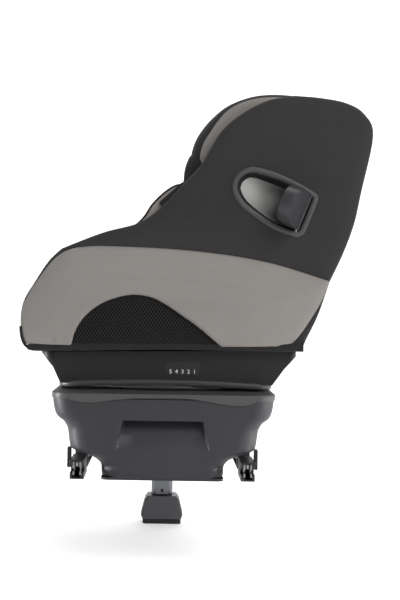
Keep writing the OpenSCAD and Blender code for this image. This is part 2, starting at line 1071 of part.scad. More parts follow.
module headrest_pad() {
    color([0.2, 0.2, 0.21])
        on_back()
            translate([-22 - seat_gap, 0, (head_low + head_high) / 2])
                rotate([0, -90, 0])
                    stuffed(cushion_outline(head_high - head_low - 14, 2 * (head_half - head_wing_t) - 12),
                        [0, 0], 20, crown);
}

head_line = [[49, 523], [42, 544], [45, 565], [55, 588], [77, 616], [108, 641], [152, 657], [200, 660],
    [243, 653], [261, 634], [246.5, 560], [232.5, 496], [180, 486], [120, 494], [80, 507], [49, 523]];

// Padded wing on one side of the head
module headrest_wing() {
    translate([0, -head_half + head_wing_t, 0])
        rotate([90, 0, 0])
            stuffed(curve(head_line, 3), [150, 575], head_wing_t - 10, 10);
}

module headrest_wings() {
    color([0.17, 0.17, 0.18])
        both_y()
            headrest_wing();
}

// Pull handle above the headrest frame, with its rod behind the frame
module headrest_handle() {
    color([0.32, 0.32, 0.33])
        on_back() {
            translate([-22, -38, head_high + 1])
                cube([18, 76, 11]);
            translate([-13, -9, head_high - 70])
                cube([7, 18, 75]);
        }
}

// Places on the face of the back: s up the back, n off the shell
function back_at(s, n, y) = [
    back_foot[0] + s * sin(back_lean) - n * cos(back_lean),
    y,
    back_foot[1] + s * cos(back_lean) + n * sin(back_lean)
];

strap_y = 68;
strap_n = 42;
strap_s = head_low - 5;

module harness_straps() {
    shoulder = [back_at(strap_s, 3, -strap_y), back_at(strap_s, 30, -strap_y), back_at(strap_s - 8, strap_n, -strap_y),
        back_at(strap_s - 51, strap_n + 2, -strap_y), back_at(120, strap_n + 2, -strap_y), [152, -58, 352],
        [105, -40, 366], [60, -26, 373], [31, -20, 371]];
    lap = [[44, -38, 350], [80, -90, 338], [125, -140, 316], [150, -166, 302]];
    lap_wide = [0.55, 0.1, 0.8];
    color([0.1, 0.1, 0.1])
        both_y() {
            webbing(shoulder, web_w, web_t);
            webbing(lap, web_w, web_t, lap_wide / norm(lap_wide));
        }
}

// Stuffed sleeve over one shoulder strap
module shoulder_pad() {
    on_back()
        translate([-strap_n - 2 - web_t / 2 - 2, -strap_y, strap_s - 69])
            rotate([0, -90, 0])
                stuffed(cushion_outline(114, 58), [0, 0], 8, 5);
}

module shoulder_pads() {
    color([0.2, 0.2, 0.2])
        both_y()
            shoulder_pad();
}

buckle_w = 56;
buckle_d = 22;
buckle_h = 46;
buckle_foot = 46;

module crotch_strap() {
    color([0.1, 0.1, 0.1])
        on_pan()
            translate([-crotch_x - web_t / 2, -web_w / 2, seat_gap])
                cube([web_t, web_w, buckle_foot - seat_gap]);
}

module on_buckle() {
    on_pan()
        translate([-crotch_x, 0, buckle_foot])
            children();
}

module buckle() {
    color([0.15, 0.15, 0.15])
        on_buckle()
            difference() {
                rotate([90, 0, 90])
                    translate([0, buckle_h / 2, -buckle_d / 2])
                        linear_extrude(buckle_d)
                            round_rect(buckle_w, buckle_h, 10);
                translate([-buckle_d, -13, 8])
                    cube([buckle_d - 3, 26, 20]);
                both_y()
                    translate([-3.5, -22, buckle_h - 14])
                        cube([7, 18, 20]);
            }
}

module buckle_button() {
    color([0.72, 0.1, 0.08])
        on_buckle()
            translate([-buckle_d / 2 - 1, -13 + run_gap, 8 + run_gap])
                cube([4.5, 26 - 2 * run_gap, 20 - 2 * run_gap]);
}

// Metal tongues pushed into the buckle, one from each side
module buckle_tongues() {
    color("silver")
        on_buckle()
            both_y()
                translate([-1.5, -21, buckle_h - 13])
                    cube([3, 16, 26]);
}

module adjuster() {
    color([0.16, 0.16, 0.16])
        difference() {
            adjuster_box(run_gap);
            translate([front_edge - 55, -15, 268])
                cube([16, 30, 18]);
        }
}

// Place of the harness adjuster in the front panel
module adjuster_box(less) {
    translate([front_edge - 44, -24 + less, 262 + less])
        cube([19 - less, 48 - 2 * less, 30 - 2 * less]);
}

module adjuster_button() {
    color([0.4, 0.4, 0.41])
        translate([front_edge - 45.5, -15 + run_gap, 268 + run_gap])
            cube([3.5, 30 - 2 * run_gap, 18 - 2 * run_gap]);
}

// Pull handle under the front edge that frees the recline
module recline_handle() {
    color([0.13, 0.13, 0.14])
        translate([front_edge - 21, 0, 200])
            difference() {
                linear_extrude(11)
                    round_rect(24, 92, 8);
                translate([2, 0, -1])
                    linear_extrude(9)
                        round_rect(12, 76, 5);
            }
}

base_tub();
base_flange();
underside_plate();
plate_screws();
bearing_ring();
guide_rails();
swivel_button();
anchor_arms();
crossbar();
connectors();
jaw_plates();
hook_pins();
jaw_hook_left();
jaw_hook_right();
release_lever_left();
release_lever_right();
leg_bracket();
leg_pin();
leg_outer_tube();
leg_button_housing();
leg_button();
leg_inner_tube();
foot();
foot_sole();
turntable();
retainer_ring();
turntable_rim();
cradle_bowl();
scale_plates();
seat_shell();
wing_cover_left();
wing_cover_right();
side_panel_left();
side_panel_right();
mesh_panels();
hem_binding();
back_cover();
front_panel();
pod_bezels();
pod_cups();
pod_pins();
pod_left();
pod_right();
seat_cushion();
back_cushion();
side_bolsters();
harness_keepers();
headrest_frame();
headrest_pad();
headrest_wings();
headrest_handle();
harness_straps();
shoulder_pads();
crotch_strap();
buckle();
buckle_button();
buckle_tongues();
adjuster();
adjuster_button();
recline_handle();
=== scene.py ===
"""The looks of a rotating child car seat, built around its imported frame."""

import math

import bmesh
import bpy
import numpy as np
from mathutils.geometry import delaunay_2d_cdt
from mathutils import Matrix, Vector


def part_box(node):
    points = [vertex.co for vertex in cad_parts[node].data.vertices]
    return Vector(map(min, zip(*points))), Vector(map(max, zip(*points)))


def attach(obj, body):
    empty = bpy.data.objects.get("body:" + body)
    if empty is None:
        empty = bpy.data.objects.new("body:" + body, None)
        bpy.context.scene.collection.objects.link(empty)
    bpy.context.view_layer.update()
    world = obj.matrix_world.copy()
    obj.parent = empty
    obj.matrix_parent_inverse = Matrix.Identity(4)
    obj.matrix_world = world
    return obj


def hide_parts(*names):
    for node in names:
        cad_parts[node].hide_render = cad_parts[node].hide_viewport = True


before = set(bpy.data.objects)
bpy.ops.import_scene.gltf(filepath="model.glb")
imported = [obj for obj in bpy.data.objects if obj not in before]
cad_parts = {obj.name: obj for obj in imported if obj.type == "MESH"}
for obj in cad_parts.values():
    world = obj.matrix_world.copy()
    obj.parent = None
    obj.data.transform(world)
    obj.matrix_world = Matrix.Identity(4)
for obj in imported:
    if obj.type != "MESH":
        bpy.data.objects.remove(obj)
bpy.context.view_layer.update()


# Studio. The camera stands where the photograph was taken from, level with the seat and 2.3 m off its side; a pale
# floor sweeps up behind, large soft boxes light the seat, and two narrow ones skim the side edges of the base.
scene = bpy.context.scene
scene.view_settings.view_transform = "Standard"
FRAME_TALL, FOCAL_PIXELS, SHIFT_PIXELS, CAMERA_ROLL = 600, 1219.5, 35, -0.9
camera_data = bpy.data.cameras.new("camera")
camera_data.sensor_width = 36
camera_data.lens = FOCAL_PIXELS * camera_data.sensor_width / FRAME_TALL
camera_data.shift_x = SHIFT_PIXELS / FRAME_TALL
camera = bpy.data.objects.new("camera", camera_data)
camera.location = (0, -2.28, 0.297)
camera.rotation_euler = (math.radians(90), math.radians(CAMERA_ROLL), 0)
scene.collection.objects.link(camera)
scene.camera = camera

FLOOR_GAP = 0.0005
FLOOR_LEVEL = float(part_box("foot_sole")[0][2]) - FLOOR_GAP
FLOOR_FRONT, FLOOR_BACK, FLOOR_HALF, SWEEP_BEND, WALL_TOP = -6.0, 2.6, 7.0, 1.2, 6.0


def studio_floor():
    """One curved sheet in matt white: floor running back, a quarter round, and the wall behind."""
    rows = [(FLOOR_FRONT, 0.0), (FLOOR_BACK, 0.0)]
    rows += [(FLOOR_BACK + SWEEP_BEND * math.sin(a), SWEEP_BEND * (1 - math.cos(a)))
             for a in np.linspace(0.1, math.pi / 2, 14)]
    rows += [(FLOOR_BACK + SWEEP_BEND, WALL_TOP)]
    points = [(x, y, z + FLOOR_LEVEL) for y, z in rows for x in (-FLOOR_HALF, FLOOR_HALF)]
    faces = [(2 * i, 2 * i + 1, 2 * i + 3, 2 * i + 2) for i in range(len(rows) - 1)]
    mesh = bpy.data.meshes.new("studio_floor")
    mesh.from_pydata(points, [], faces)
    mesh.polygons.foreach_set("use_smooth", [True] * len(faces))
    paper = bpy.data.materials.new("studio_paper")
    paper.use_nodes = True
    sockets = paper.node_tree.nodes["Principled BSDF"].inputs
    sockets["Base Color"].default_value = (0.93, 0.93, 0.935, 1)
    sockets["Roughness"].default_value = 0.95
    sockets["Emission Color"].default_value = (1, 1, 1, 1)
    sockets["Emission Strength"].default_value = 0.5
    mesh.materials.append(paper)
    floor = bpy.data.objects.new("studio_floor", mesh)
    scene.collection.objects.link(floor)


def soft_box(name, place, aim, size, power, spread=180):
    """Square area light at a place, turned to a point, with its beam held to an angle."""
    light = bpy.data.lights.new(name, "AREA")
    light.size = size
    light.energy = power
    light.spread = math.radians(spread)
    lamp = bpy.data.objects.new(name, light)
    lamp.location = place
    direction = np.subtract(aim, place)
    lamp.rotation_euler = (
        math.acos(-direction[2] / np.linalg.norm(direction)), 0,
        math.atan2(direction[1], direction[0]) - math.pi / 2)
    scene.collection.objects.link(lamp)


studio_floor()
SEAT_MIDDLE = (0.05, 0, 0.35)
BASE_MIDDLE = (0, -0.1, 0.03)
soft_box("key_box", (1.1, -2.3, 1.8), SEAT_MIDDLE, 1.5, 43)
soft_box("fill_box", (-2.2, -1.6, 1.4), SEAT_MIDDLE, 1.5, 0.6)
soft_box("low_left_box", (-1.9, -0.3, -0.02), BASE_MIDDLE, 0.3, 1.1, 8)
soft_box("low_right_box", (1.9, -0.3, -0.02), BASE_MIDDLE, 0.3, 0.7, 8)
soft_box("right_box", (2.2, -0.9, 0.4), SEAT_MIDDLE, 1.0, 11)
soft_box("top_box", (0.2, 0.4, 2.6), SEAT_MIDDLE, 1.8, 24)
soft_box("rear_box", (0.6, 2.4, 1.6), SEAT_MIDDLE, 1.6, 20)
world = bpy.data.worlds.new("studio_air")
world.use_nodes = True
air = world.node_tree.nodes["Background"].inputs
air["Color"].default_value, air["Strength"].default_value = (1, 1, 1, 1), 0.3
scene.world = world


# Base tub. A deep injection-moulded tub in dark grey plastic, spark-eroded to a fine grain,
# with a keel below for the anchor arms and a raked pocket sunk in its rear face.
MM = 0.001


class Wire:
    """An output of a material's nodes. Sums on wires add the Math nodes that work them out."""

    def __init__(self, tree, socket):
        self.tree, self.socket = tree, socket

    def node(self, kind, settings=(), inputs=(), out=0):
        """A node of a type: its settings are set first, then its sockets are given values or links."""
        made = self.tree.nodes.new("ShaderNode" + kind)
        for name, value in dict(settings).items():
            setattr(made, name, value)
        for name, value in dict(inputs).items():
            if isinstance(value, Wire):
                self.tree.links.new(value.socket, made.inputs[name])
            else:
                made.inputs[name].default_value = value
        return Wire(self.tree, made.outputs[out])

    def maths(self, operation, *values):
        return self.node("Math", {"operation": operation}, enumerate(values))

    def __add__(self, other):
        return self.maths("ADD", self, other)

    def __sub__(self, other):
        return self.maths("SUBTRACT", self, other)

    def __rsub__(self, other):
        return self.maths("SUBTRACT", other, self)

    def __mul__(self, other):
        return self.maths("MULTIPLY", self, other)

    __radd__, __rmul__ = __add__, __mul__

    def axis(self, which):
        """One of the three coordinates of a place."""
        return self.node("SeparateXYZ", (), {"Vector": self}, out=which)

    def sine(self, turns=1.0):
        return self.maths("SINE", self * (2 * math.pi * turns))

    def above(self, edge, soft):
        """0 below an edge, 1 above it, with a soft step."""
        return self.node("MapRange", {"interpolation_type": "SMOOTHSTEP"},
                         {"Value": self, "From Min": edge - soft, "From Max": edge + soft})

    def noise(self, scale, detail=2.0):
        return self.node("TexNoise", (), {"Vector": self, "Scale": scale, "Detail": detail})

    def between(self, dark, light):
        """Colour from dark to light as this goes from 0 to 1."""
        return self.node("Mix", {"data_type": "RGBA"}, {0: self, 6: (*dark, 1), 7: (*light, 1)}, out=2)

    def bump(self, depth, strength=1.0):
        """Normal of a surface raised by this, depth in metres."""
        return self.node("Bump", (), {"Height": self, "Distance": depth, "Strength": strength})


def new_finish(name, roughness, **fixed):
    """An empty material, the place on the piece it is asked about, and a way to set its shader."""
    material = bpy.data.materials.new(name)
    material.use_nodes = True
    shader = material.node_tree.nodes["Principled BSDF"]
    shader.inputs["Roughness"].default_value = roughness
    for socket, value in fixed.items():
        shader.inputs[socket.replace("_", " ")].default_value = value

    def set_shader(**wires):
        for socket, wire in wires.items():
            material.node_tree.links.new(wire.socket, shader.inputs[socket.replace("_", " ")])

    place = Wire(material.node_tree, None).node("TexCoord", out="Object")
    return material, place, set_shader


def shades(colour, spread):
    """A darker and a lighter tone round a colour."""
    return tuple(c * (1 - spread) for c in colour), tuple(min(c * (1 + spread), 1) for c in colour)


def moulded_plastic(name, colour, roughness=0.5, grain=0.00012, gloss=0.28):
    """Injection-moulded plastic: fine eroded grain, faint flow clouds and rubbed patches."""
    material, place, set_shader = new_finish(name, roughness, Specular_IOR_Level=gloss)
    clouds = place.noise(7, 4)
    specks = place.noise(1300, 2)
    rubbed = place.noise(38, 5).above(0.62, 0.1)
    set_shader(
        Base_Color=(clouds * 0.7 + specks * 0.3).between(*shades(colour, 0.16)),
        Roughness=roughness + (specks - 0.5) * 0.16 - rubbed * 0.06,
        Normal=specks.bump(grain, 0.6))
    return material


WELD_REACH = 0.02


def dress(nodes, material, edge=0.0, angle=28):
    """Gives CAD nodes their finish, and rounds their sharp edges by a radius in mm."""
    for name in nodes:
        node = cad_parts[name]
        node.data.materials.clear()
        node.data.materials.append(material)
        if edge:
            weld = node.modifiers.new("weld", "WELD")
            weld.merge_threshold = WELD_REACH * MM
            bevel = node.modifiers.new("edge_round", "BEVEL")
            bevel.width = edge * MM
            bevel.segments = 3
            bevel.limit_method = "ANGLE"
            bevel.angle_limit = math.radians(angle)
            bevel.use_clamp_overlap = True
            bevel.harden_normals = True


def make(name, points, faces, material, sharp=40):
    """A mesh piece from points in mm, shaded smooth up to an angle."""
    mesh = bpy.data.meshes.new(name)
    places = (np.asarray(points, float) * MM).tolist()
    mesh.from_pydata(places, [], [tuple(int(i) for i in f) for f in faces])
    mesh.validate()
    tidy = bmesh.new()
    tidy.from_mesh(mesh)
    bmesh.ops.recalc_face_normals(tidy, faces=tidy.faces)
    tidy.to_mesh(mesh)
    tidy.free()
    mesh.polygons.foreach_set("use_smooth", [True] * len(mesh.polygons))
    mesh.set_sharp_from_angle(angle=math.radians(sharp))
    mesh.materials.append(material)
    piece = bpy.data.objects.new(name, mesh)
    scene.collection.objects.link(piece)
    return piece


def settle(piece, body, slot, *nodes):
    """Gives a piece the body it rides on and hides the CAD nodes it stands for; the finish slot is not used."""
    if nodes:
        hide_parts(*nodes)
    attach(piece, body)
    return piece


def spline(points, steps=6):
    """Smooth curve through points."""
    p = np.asarray(points, float)
    p = np.vstack([p[:1], p, p[-1:]])
    t = np.linspace(0, 1, steps, endpoint=False)[:, None]
    runs = [0.5 * (2 * b + (c - a) * t + (2 * a - 5 * b + 4 * c - d) * t**2 + (3 * b - a - 3 * c + d) * t**3)
            for a, b, c, d in zip(p, p[1:], p[2:], p[3:])]
    return np.vstack(runs + [p[-1:]])


def loft(rows, closed=True):
    """Faces between rows of equally many points, numbered row after row."""
    many = len(rows[0])
    last = many if closed else many - 1
    return [(r * many + i, r * many + (i + 1) % many, (r + 1) * many + (i + 1) % many, (r + 1) * many + i)
            for r in range(len(rows) - 1) for i in range(last)]


TUB_REAR, TUB_FRONT, TUB_CORNER, TUB_WALL = -280, 236, 34, 4.0
TUB_SIDE = [(98, 4), (101, 6.5), (102, 21), (106, 28), (114, 34), (128, 40), (143, 44.5), (151, 48.5), (155, 55),
            (158.5, 80), (161, 87), (166, 94), (175, 101), (180, 109), (183, 122), (184, 131), (184, 134.5)]
POCKET_TOP, POCKET_FOOT, POCKET_DEPTH, POCKET_RAKE = 98, 46, 26, 1.15
POCKET_TOP_HALF, POCKET_FOOT_HALF = 67, 79
POCKET_RIM = [(-0.995, 0.05), (-0.985, 0.35), (-0.955, 0.9), (-0.93, 1), (-0.6, 1), (-0.3, 1)]
POCKET_LEVELS = {46.2, 60, 70, 95.5, 97.2, 97.9, 98.4, 99.4}
ARM_REAR, ARM_FRONT, ARM_LOW, ARM_HIGH = -150, 2, 7.5, 27.5


def tub_row(half, level):
    """Points once round the tub at a level, with the pocket pressed into the rear face."""
    share = np.clip((level - POCKET_FOOT) / (POCKET_TOP - POCKET_FOOT), 0, 1)
    pocket = POCKET_FOOT_HALF + (POCKET_TOP_HALF - POCKET_FOOT_HALF) * share
    depth = POCKET_DEPTH * share**POCKET_RAKE if POCKET_FOOT < level < POCKET_TOP else 0
    straight = half - TUB_CORNER
    edge = min(pocket, straight - 3)
    rear = [(-straight + (u + 1) * (straight - edge), TUB_REAR) for u in (-1, -0.55, -0.2, 0)]
    rear += [(u * edge, TUB_REAR + depth * push) for u, push in POCKET_RIM]
    rear += [(0, TUB_REAR + depth)] + [(-x, y) for x, y in reversed(rear)]
    side = [(straight + TUB_CORNER * math.cos(a), TUB_REAR + TUB_CORNER * (1 + math.sin(a)))
            for a in np.linspace(-math.pi / 2, 0, 9)[1:]]
    side += [(half, y) for y in (-200, ARM_REAR, -75, ARM_FRONT, 80, 150)]
    side += [(straight + TUB_CORNER * math.cos(a), TUB_FRONT - TUB_CORNER * (1 - math.sin(a)))
             for a in np.linspace(0, math.pi / 2, 9)]
    return [(x, y, level) for x, y in rear + side + [(-x, y) for x, y in reversed(side)]]


def tub_levels():
    """Half width and height of each row, with extra rows at the pocket's rim and the arm slots."""
    side = spline(TUB_SIDE, 4)
    levels = sorted(set(np.round(side[:, 1], 2)) | POCKET_LEVELS | {ARM_LOW, ARM_HIGH})
    return [(np.interp(z, side[:, 1], side[:, 0]), z) for z in levels]


tub_plastic = moulded_plastic("tub_plastic", (0.026, 0.0255, 0.029), 0.48)
tub_rows = [tub_row(half, level) for half, level in tub_levels()]
tub_points = np.vstack(tub_rows)
tub_middle = [tub_points[list(f)].mean(0) for f in loft(tub_rows)]
tub_faces = [f for f, m in zip(loft(tub_rows), tub_middle)
             if not (ARM_REAR < m[1] < ARM_FRONT and ARM_LOW < m[2] < ARM_HIGH)]
base_shell = make("base_shell", tub_points, tub_faces, tub_plastic, 32)
wall = base_shell.modifiers.new("wall", "SOLIDIFY")
wall.thickness, wall.offset = TUB_WALL * MM, -1
settle(base_shell, "base", "base_plastic", "base_tub")


# Deck flange and underside. The flange is a separate moulding that closes the tub, with a wavy lip over the
# rear face; a plate screwed to the keel closes it below, and the swivel button sits in the flange's front.
flange_plastic = moulded_plastic("flange_plastic", (0.056, 0.0545, 0.056), 0.42)
button_plastic = moulded_plastic("button_plastic", (0.13, 0.13, 0.135), 0.38)
dress(["base_flange"], flange_plastic, 3.2, 24)
dress(["underside_plate"], tub_plastic, 1.0)
dress(["swivel_button"], button_plastic, 1.6)


def drawn_metal(name, colour, roughness, along, scratch=0.00003):
    """Rolled or drawn metal: fine lines along one direction, clouded by handling."""
    material, place, set_shader = new_finish(name, roughness, Metallic=1.0)
    stretch = tuple(40.0 if axis == along else 2600.0 for axis in "XYZ")
    lines = place.node("VectorMath", {"operation": "MULTIPLY"}, {0: place, 1: stretch}).noise(1.0, 3)
    clouds = place.noise(26, 4)
    set_shader(
        Base_Color=(clouds * 0.6 + lines * 0.4).between(*shades(colour, 0.18)),
        Roughness=roughness + (lines - 0.5) * 0.2 + (clouds - 0.5) * 0.14,
        Normal=lines.bump(scratch, 0.5))
    return material


zinc_steel = drawn_metal("zinc_steel", (0.55, 0.55, 0.57), 0.36, "Y")
dress(["plate_screws", "bearing_ring", "leg_bracket", "leg_pin"], zinc_steel, 0.5)
dress(["guide_rails"], tub_plastic, 0.8)


# Anchor connectors. Square steel arms on a crossbar slide out of the keel; each ends in a black housing with a
# pair of stamped jaw plates, a latch hook on a pin and a plastic finger loop that frees it.
connector_plastic = moulded_plastic("connector_plastic", (0.012, 0.012, 0.013), 0.4)
jaw_steel = drawn_metal("jaw_steel", (0.3, 0.3, 0.31), 0.4, "Y")
hook_steel = drawn_metal("hook_steel", (0.3, 0.3, 0.31), 0.42, "Y")
dress(["anchor_arms", "crossbar"], zinc_steel, 1.2)
dress(["connectors"], connector_plastic, 1.4)
dress(["jaw_plates", "hook_pins"], jaw_steel, 0.4)
dress(["jaw_hook_left", "jaw_hook_right"], hook_steel, 0.6)
dress(["release_lever_left", "release_lever_right"], connector_plastic, 1.8)


# Support leg. Two rolled tubes in satin grey telescope on each other, with a sprung button to free them;
# the foot is a moulded shoe with a rubber sole pressed on below.
leg_metal = drawn_metal("leg_metal", (0.2, 0.206, 0.222), 0.44, "Z")
foot_plastic = moulded_plastic("foot_plastic", (0.086, 0.087, 0.093), 0.45)
dress(["leg_outer_tube", "leg_inner_tube"], leg_metal, 0.5)
dress(["leg_button_housing"], connector_plastic, 1.6)
dress(["leg_button"], button_plastic, 0.8)
dress(["foot"], foot_plastic, 4.5, 24)


PEG_OUT, PEG_UP = 0.5, 8
PEG_PROFILE = [(2.9, 1.4), (2.9, 0.3), (2.5, 0), (1.2, -0.15)]


def circle(many):
    """Angles once round, evenly spaced."""
    return np.linspace(0, 2 * math.pi, many, endpoint=False)


def capped(rows):
    """Points and faces of a tube through rows, closed at both ends."""
    many, total = len(rows[0]), len(rows) * len(rows[0])
    return np.vstack(rows), loft(rows) + [tuple(range(many)), tuple(range(total - many, total))]


def leg_peg():
    """Round black peg end in the hole on the near face of the upper tube."""
    low = np.array(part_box("leg_outer_tube")[0]) / MM
    return capped([[(r * math.cos(a), low[1] + PEG_OUT + y, low[2] + PEG_UP + r * math.sin(a)) for a in circle(20)]
                   for r, y in PEG_PROFILE])


settle(make("leg_peg", *leg_peg(), connector_plastic, 40), "leg_upper", "black_plastic")


def moulded_rubber(name, colour):
    """Matt rubber with a dusty bloom and fine pores."""
    material, place, set_shader = new_finish(name, 0.8)
    bloom = place.noise(55, 5)
    pores = place.noise(1700, 2)
    set_shader(
        Base_Color=bloom.between(*shades(colour, 0.4)),
        Roughness=0.74 + bloom * 0.2,
        Normal=pores.bump(0.0001, 0.5))
    return material


sole_rubber = moulded_rubber("sole_rubber", (0.02, 0.02, 0.021))
dress(["foot_sole"], sole_rubber, 1.5)
TREAD_PITCH, TREAD_START, TREAD_INSET = 9.0, 7, 6
TREAD = [(-2.6, 0.4), (-1.8, 0), (1.8, 0), (2.6, 0.4), (2.6, 2.0), (-2.6, 2.0)]


def gathered(forms):
    """Several forms as the points and faces of one mesh."""
    points, faces = [], []
    for form_points, form_faces in forms:
        faces += [tuple(int(i) + len(points) for i in f) for f in form_faces]
        points += [tuple(p) for p in form_points]
    return points, faces


def sole_treads():
    """Ribs across the sole, just inside its edge."""
    low, high = (np.array(c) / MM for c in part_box("foot_sole"))
    ends = (low[1] + TREAD_INSET, high[1] - TREAD_INSET)
    return gathered([capped([[(x + dx, y, low[2] + dz) for dx, dz in TREAD] for y in ends])
                     for x in np.arange(low[0] + TREAD_START, high[0] - TREAD_INSET, TREAD_PITCH)])


settle(make("sole_treads", *sole_treads(), sole_rubber, 30), "leg_lower", "rubber")


# Turntable and cradle. A ring turns in the deck and carries a moulded bowl that the seat slides in as it
# leans back; a small black plate on each side is numbered for the five recline steps.
rim_plastic = moulded_plastic("rim_plastic", (0.041, 0.0395, 0.0395), 0.38)
bowl_plastic = moulded_plastic("bowl_plastic", (0.007, 0.007, 0.008), 0.46)
dress(["turntable", "retainer_ring"], connector_plastic, 0.8)
dress(["turntable_rim"], rim_plastic, 2.2, 24)
dress(["cradle_bowl"], bowl_plastic, 3.0, 24)
LIP_MIDDLE, LIP_HALF_LONG, LIP_HALF_WIDE, LIP_CORNER = 3, 180, 186.5, 26
LIP_LEVEL, LIP_ARCH, LIP_OUT, LIP_UP, LIP_GAP = 149.5, 6.0, 4.5, 5.5, 8.88


def unit(vectors):
    """The same directions, each of length 1."""
    return vectors / np.linalg.norm(vectors, axis=1)[:, None]


def right_of(run):
    """Directions square to a flat run, on its right."""
    return unit(np.column_stack([run[:, 1], -run[:, 0]]))


def evenly(line, gap):
    """The same line with its points an even gap apart."""
    line = np.asarray(line, float)
    run = np.concatenate([[0], np.cumsum(np.linalg.norm(np.diff(line, axis=0), axis=1))])
    at = np.linspace(0, run[-1], max(int(round(run[-1] / gap)), 2) + 1)
    return np.column_stack([np.interp(at, run, line[:, k]) for k in range(line.shape[1])])


def hoop(rows):
    """Points and faces of a ring through rows, the last row joined to the first."""
    many = len(rows) * len(rows[0])
    return np.vstack(rows), [tuple(i % many for i in f) for f in loft(rows + rows[:1])]


def bowl_lip():
    """Rolled lip round the foot of the bowl, arched along its sides."""
    corners = []
    for turn, (sx, sy) in enumerate(((1, 1), (-1, 1), (-1, -1), (1, -1))):
        corners += [(LIP_MIDDLE + sx * (LIP_HALF_LONG - LIP_CORNER) + LIP_CORNER * math.cos(a),
                     sy * (LIP_HALF_WIDE - LIP_CORNER) + LIP_CORNER * math.sin(a))
                    for a in np.linspace(0, math.pi / 2, 7) + turn * math.pi / 2]
    plan = evenly(corners + corners[:1], LIP_GAP)[:-1]
    rows = []
    for (x, y), (nx, ny) in zip(plan, right_of(np.roll(plan, -1, 0) - np.roll(plan, 1, 0))):
        level = LIP_LEVEL + LIP_ARCH * max(1 - (x / LIP_HALF_LONG) ** 2, 0)
        rows.append([(x + nx * LIP_OUT * math.cos(a), y + ny * LIP_OUT * math.cos(a), level + LIP_UP * math.sin(a))
                     for a in circle(12)])
    return hoop(rows)


settle(make("bowl_lip", *bowl_lip(), rim_plastic, 40), "turntable", "rim_plastic")
scale_plastic = moulded_plastic("scale_plastic", (0.014, 0.014, 0.015), 0.42)
dress(["scale_plates"], scale_plastic, 0.3)
print_ink = moulded_plastic("print_ink", (0.75, 0.75, 0.75), 0.6, 0.00002)
SCALE_MIDDLE, MARK_PITCH, NUMERAL_FOOT, NUMERAL_TALL = 32.0, 10.3, 171.5, 9.45
INK_THICK, INK_LIFT = 0.08, 0.1


def recline_numerals(name, side):
    """The five step numbers printed on one scale plate, read from outside."""
    face = float(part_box("scale_plates")[0 if side < 0 else 1][1])
    parts = []
    for i in range(5):
        text = bpy.data.curves.new("numeral", "FONT")
        text.body = str(5 - i)
        text.align_x = "CENTER"
        text.size = NUMERAL_TALL * MM
        text.extrude = INK_THICK * MM
        letter = bpy.data.objects.new("numeral", text)
        scene.collection.objects.link(letter)
        along = SCALE_MIDDLE + (i - 2) * MARK_PITCH * (1 if side < 0 else -1)
        letter.location = (along * MM, face + side * INK_LIFT * MM, NUMERAL_FOOT * MM)
        letter.rotation_euler = (math.radians(90), 0, 0 if side < 0 else math.pi)
        bpy.context.view_layer.update()
        shape = letter.evaluated_get(bpy.context.evaluated_depsgraph_get()).to_mesh()
        shape.transform(letter.matrix_world)
        parts.append(([tuple(v.co / MM) for v in shape.vertices], [tuple(f.vertices) for f in shape.polygons]))
        bpy.data.objects.remove(letter)
    settle(make(name, *gathered(parts), print_ink, 30), "turntable", "grey_plastic")


recline_numerals("recline_numerals_near", -1)
recline_numerals("recline_numerals_far", 1)


# Seat shell and side pods. The shell is a black moulded bucket; each wing has a bezel ring screwed over a
# moulded scoop, and a flap hinged on a pin at the scoop's rear edge that swings out against side impacts. A grey
# pull handle at the front frees the recline.
shell_plastic = moulded_plastic("shell_plastic", (0.016, 0.016, 0.017), 0.5)
bezel_plastic = moulded_plastic("bezel_plastic", (0.052, 0.052, 0.054), 0.42)
flap_plastic = moulded_plastic("flap_plastic", (0.035, 0.035, 0.038), 0.36)
dress(["seat_shell"], shell_plastic, 1.2)
dress(["pod_pins"], zinc_steel)
dress(["pod_left", "pod_right"], flap_plastic, 3.2)
dress(["recline_handle"], button_plastic, 1.8)
WALL = 204.3
POD_PLACE, POD_TURN = (246, 442), math.radians(159)
POD_COS, POD_SIN = math.cos(POD_TURN), math.sin(POD_TURN)
POD_EDGE = [(0, -30), (0, 24), (3, 36), (13, 43), (50, 44.5), (85, 38.5), (117, 29), (136, 16), (146, 0), (144, -22),
            (126, -41), (89, -47), (48, -46), (13, -41), (3, -37)]
RING_WIDE, RING_HIGH, RING_FOOT = 10.2, 16.5, -0.3
SCOOP_DEEP, SCOOP_SHALLOW, SCOOP_THICK, SCOOP_WALL = 27, 6, 2.2, 6.5


def joined(*lines, gap=4.5):
    """Closed outline of lines that follow each other, points an even gap apart, each corner once."""
    return np.vstack([evenly(line, gap)[:-1] for line in lines])


def away(points, line):
    """Distance of each point from a line."""
    best = np.full(len(points), np.inf)
    for start, stop in zip(np.asarray(line)[:-1], np.asarray(line)[1:]):
        step = stop - start
        share = np.clip(((points - start) @ step) / max(step @ step, 1e-9), 0, 1)
        best = np.minimum(best, np.linalg.norm(points - start - share[:, None] * step, axis=1))
    return best


def inside(points, loop):
    """Which points lie within a closed outline."""
    hit = np.zeros(len(points), bool)
    for (ax, az), (bx, bz) in zip(loop, np.roll(loop, -1, 0)):
        crosses = (az > points[:, 1]) != (bz > points[:, 1])
        hit ^= crosses & (points[:, 0] < (bx - ax) * (points[:, 1] - az) / (bz - az + 1e-12) + ax)
    return hit


def closed_line(loop):
    """A closed outline with its first point again at its end."""
    return np.vstack([loop, loop[:1]])


def loop_through(points, gap, steps=6):
    """Smooth closed outline through points, its own points an even gap apart."""
    return evenly(spline(points + points[:1], steps), gap)[:-1]


EDGE_ROWS, ROW_SHARE = (1, 2.6, 5, 8.5), 0.866


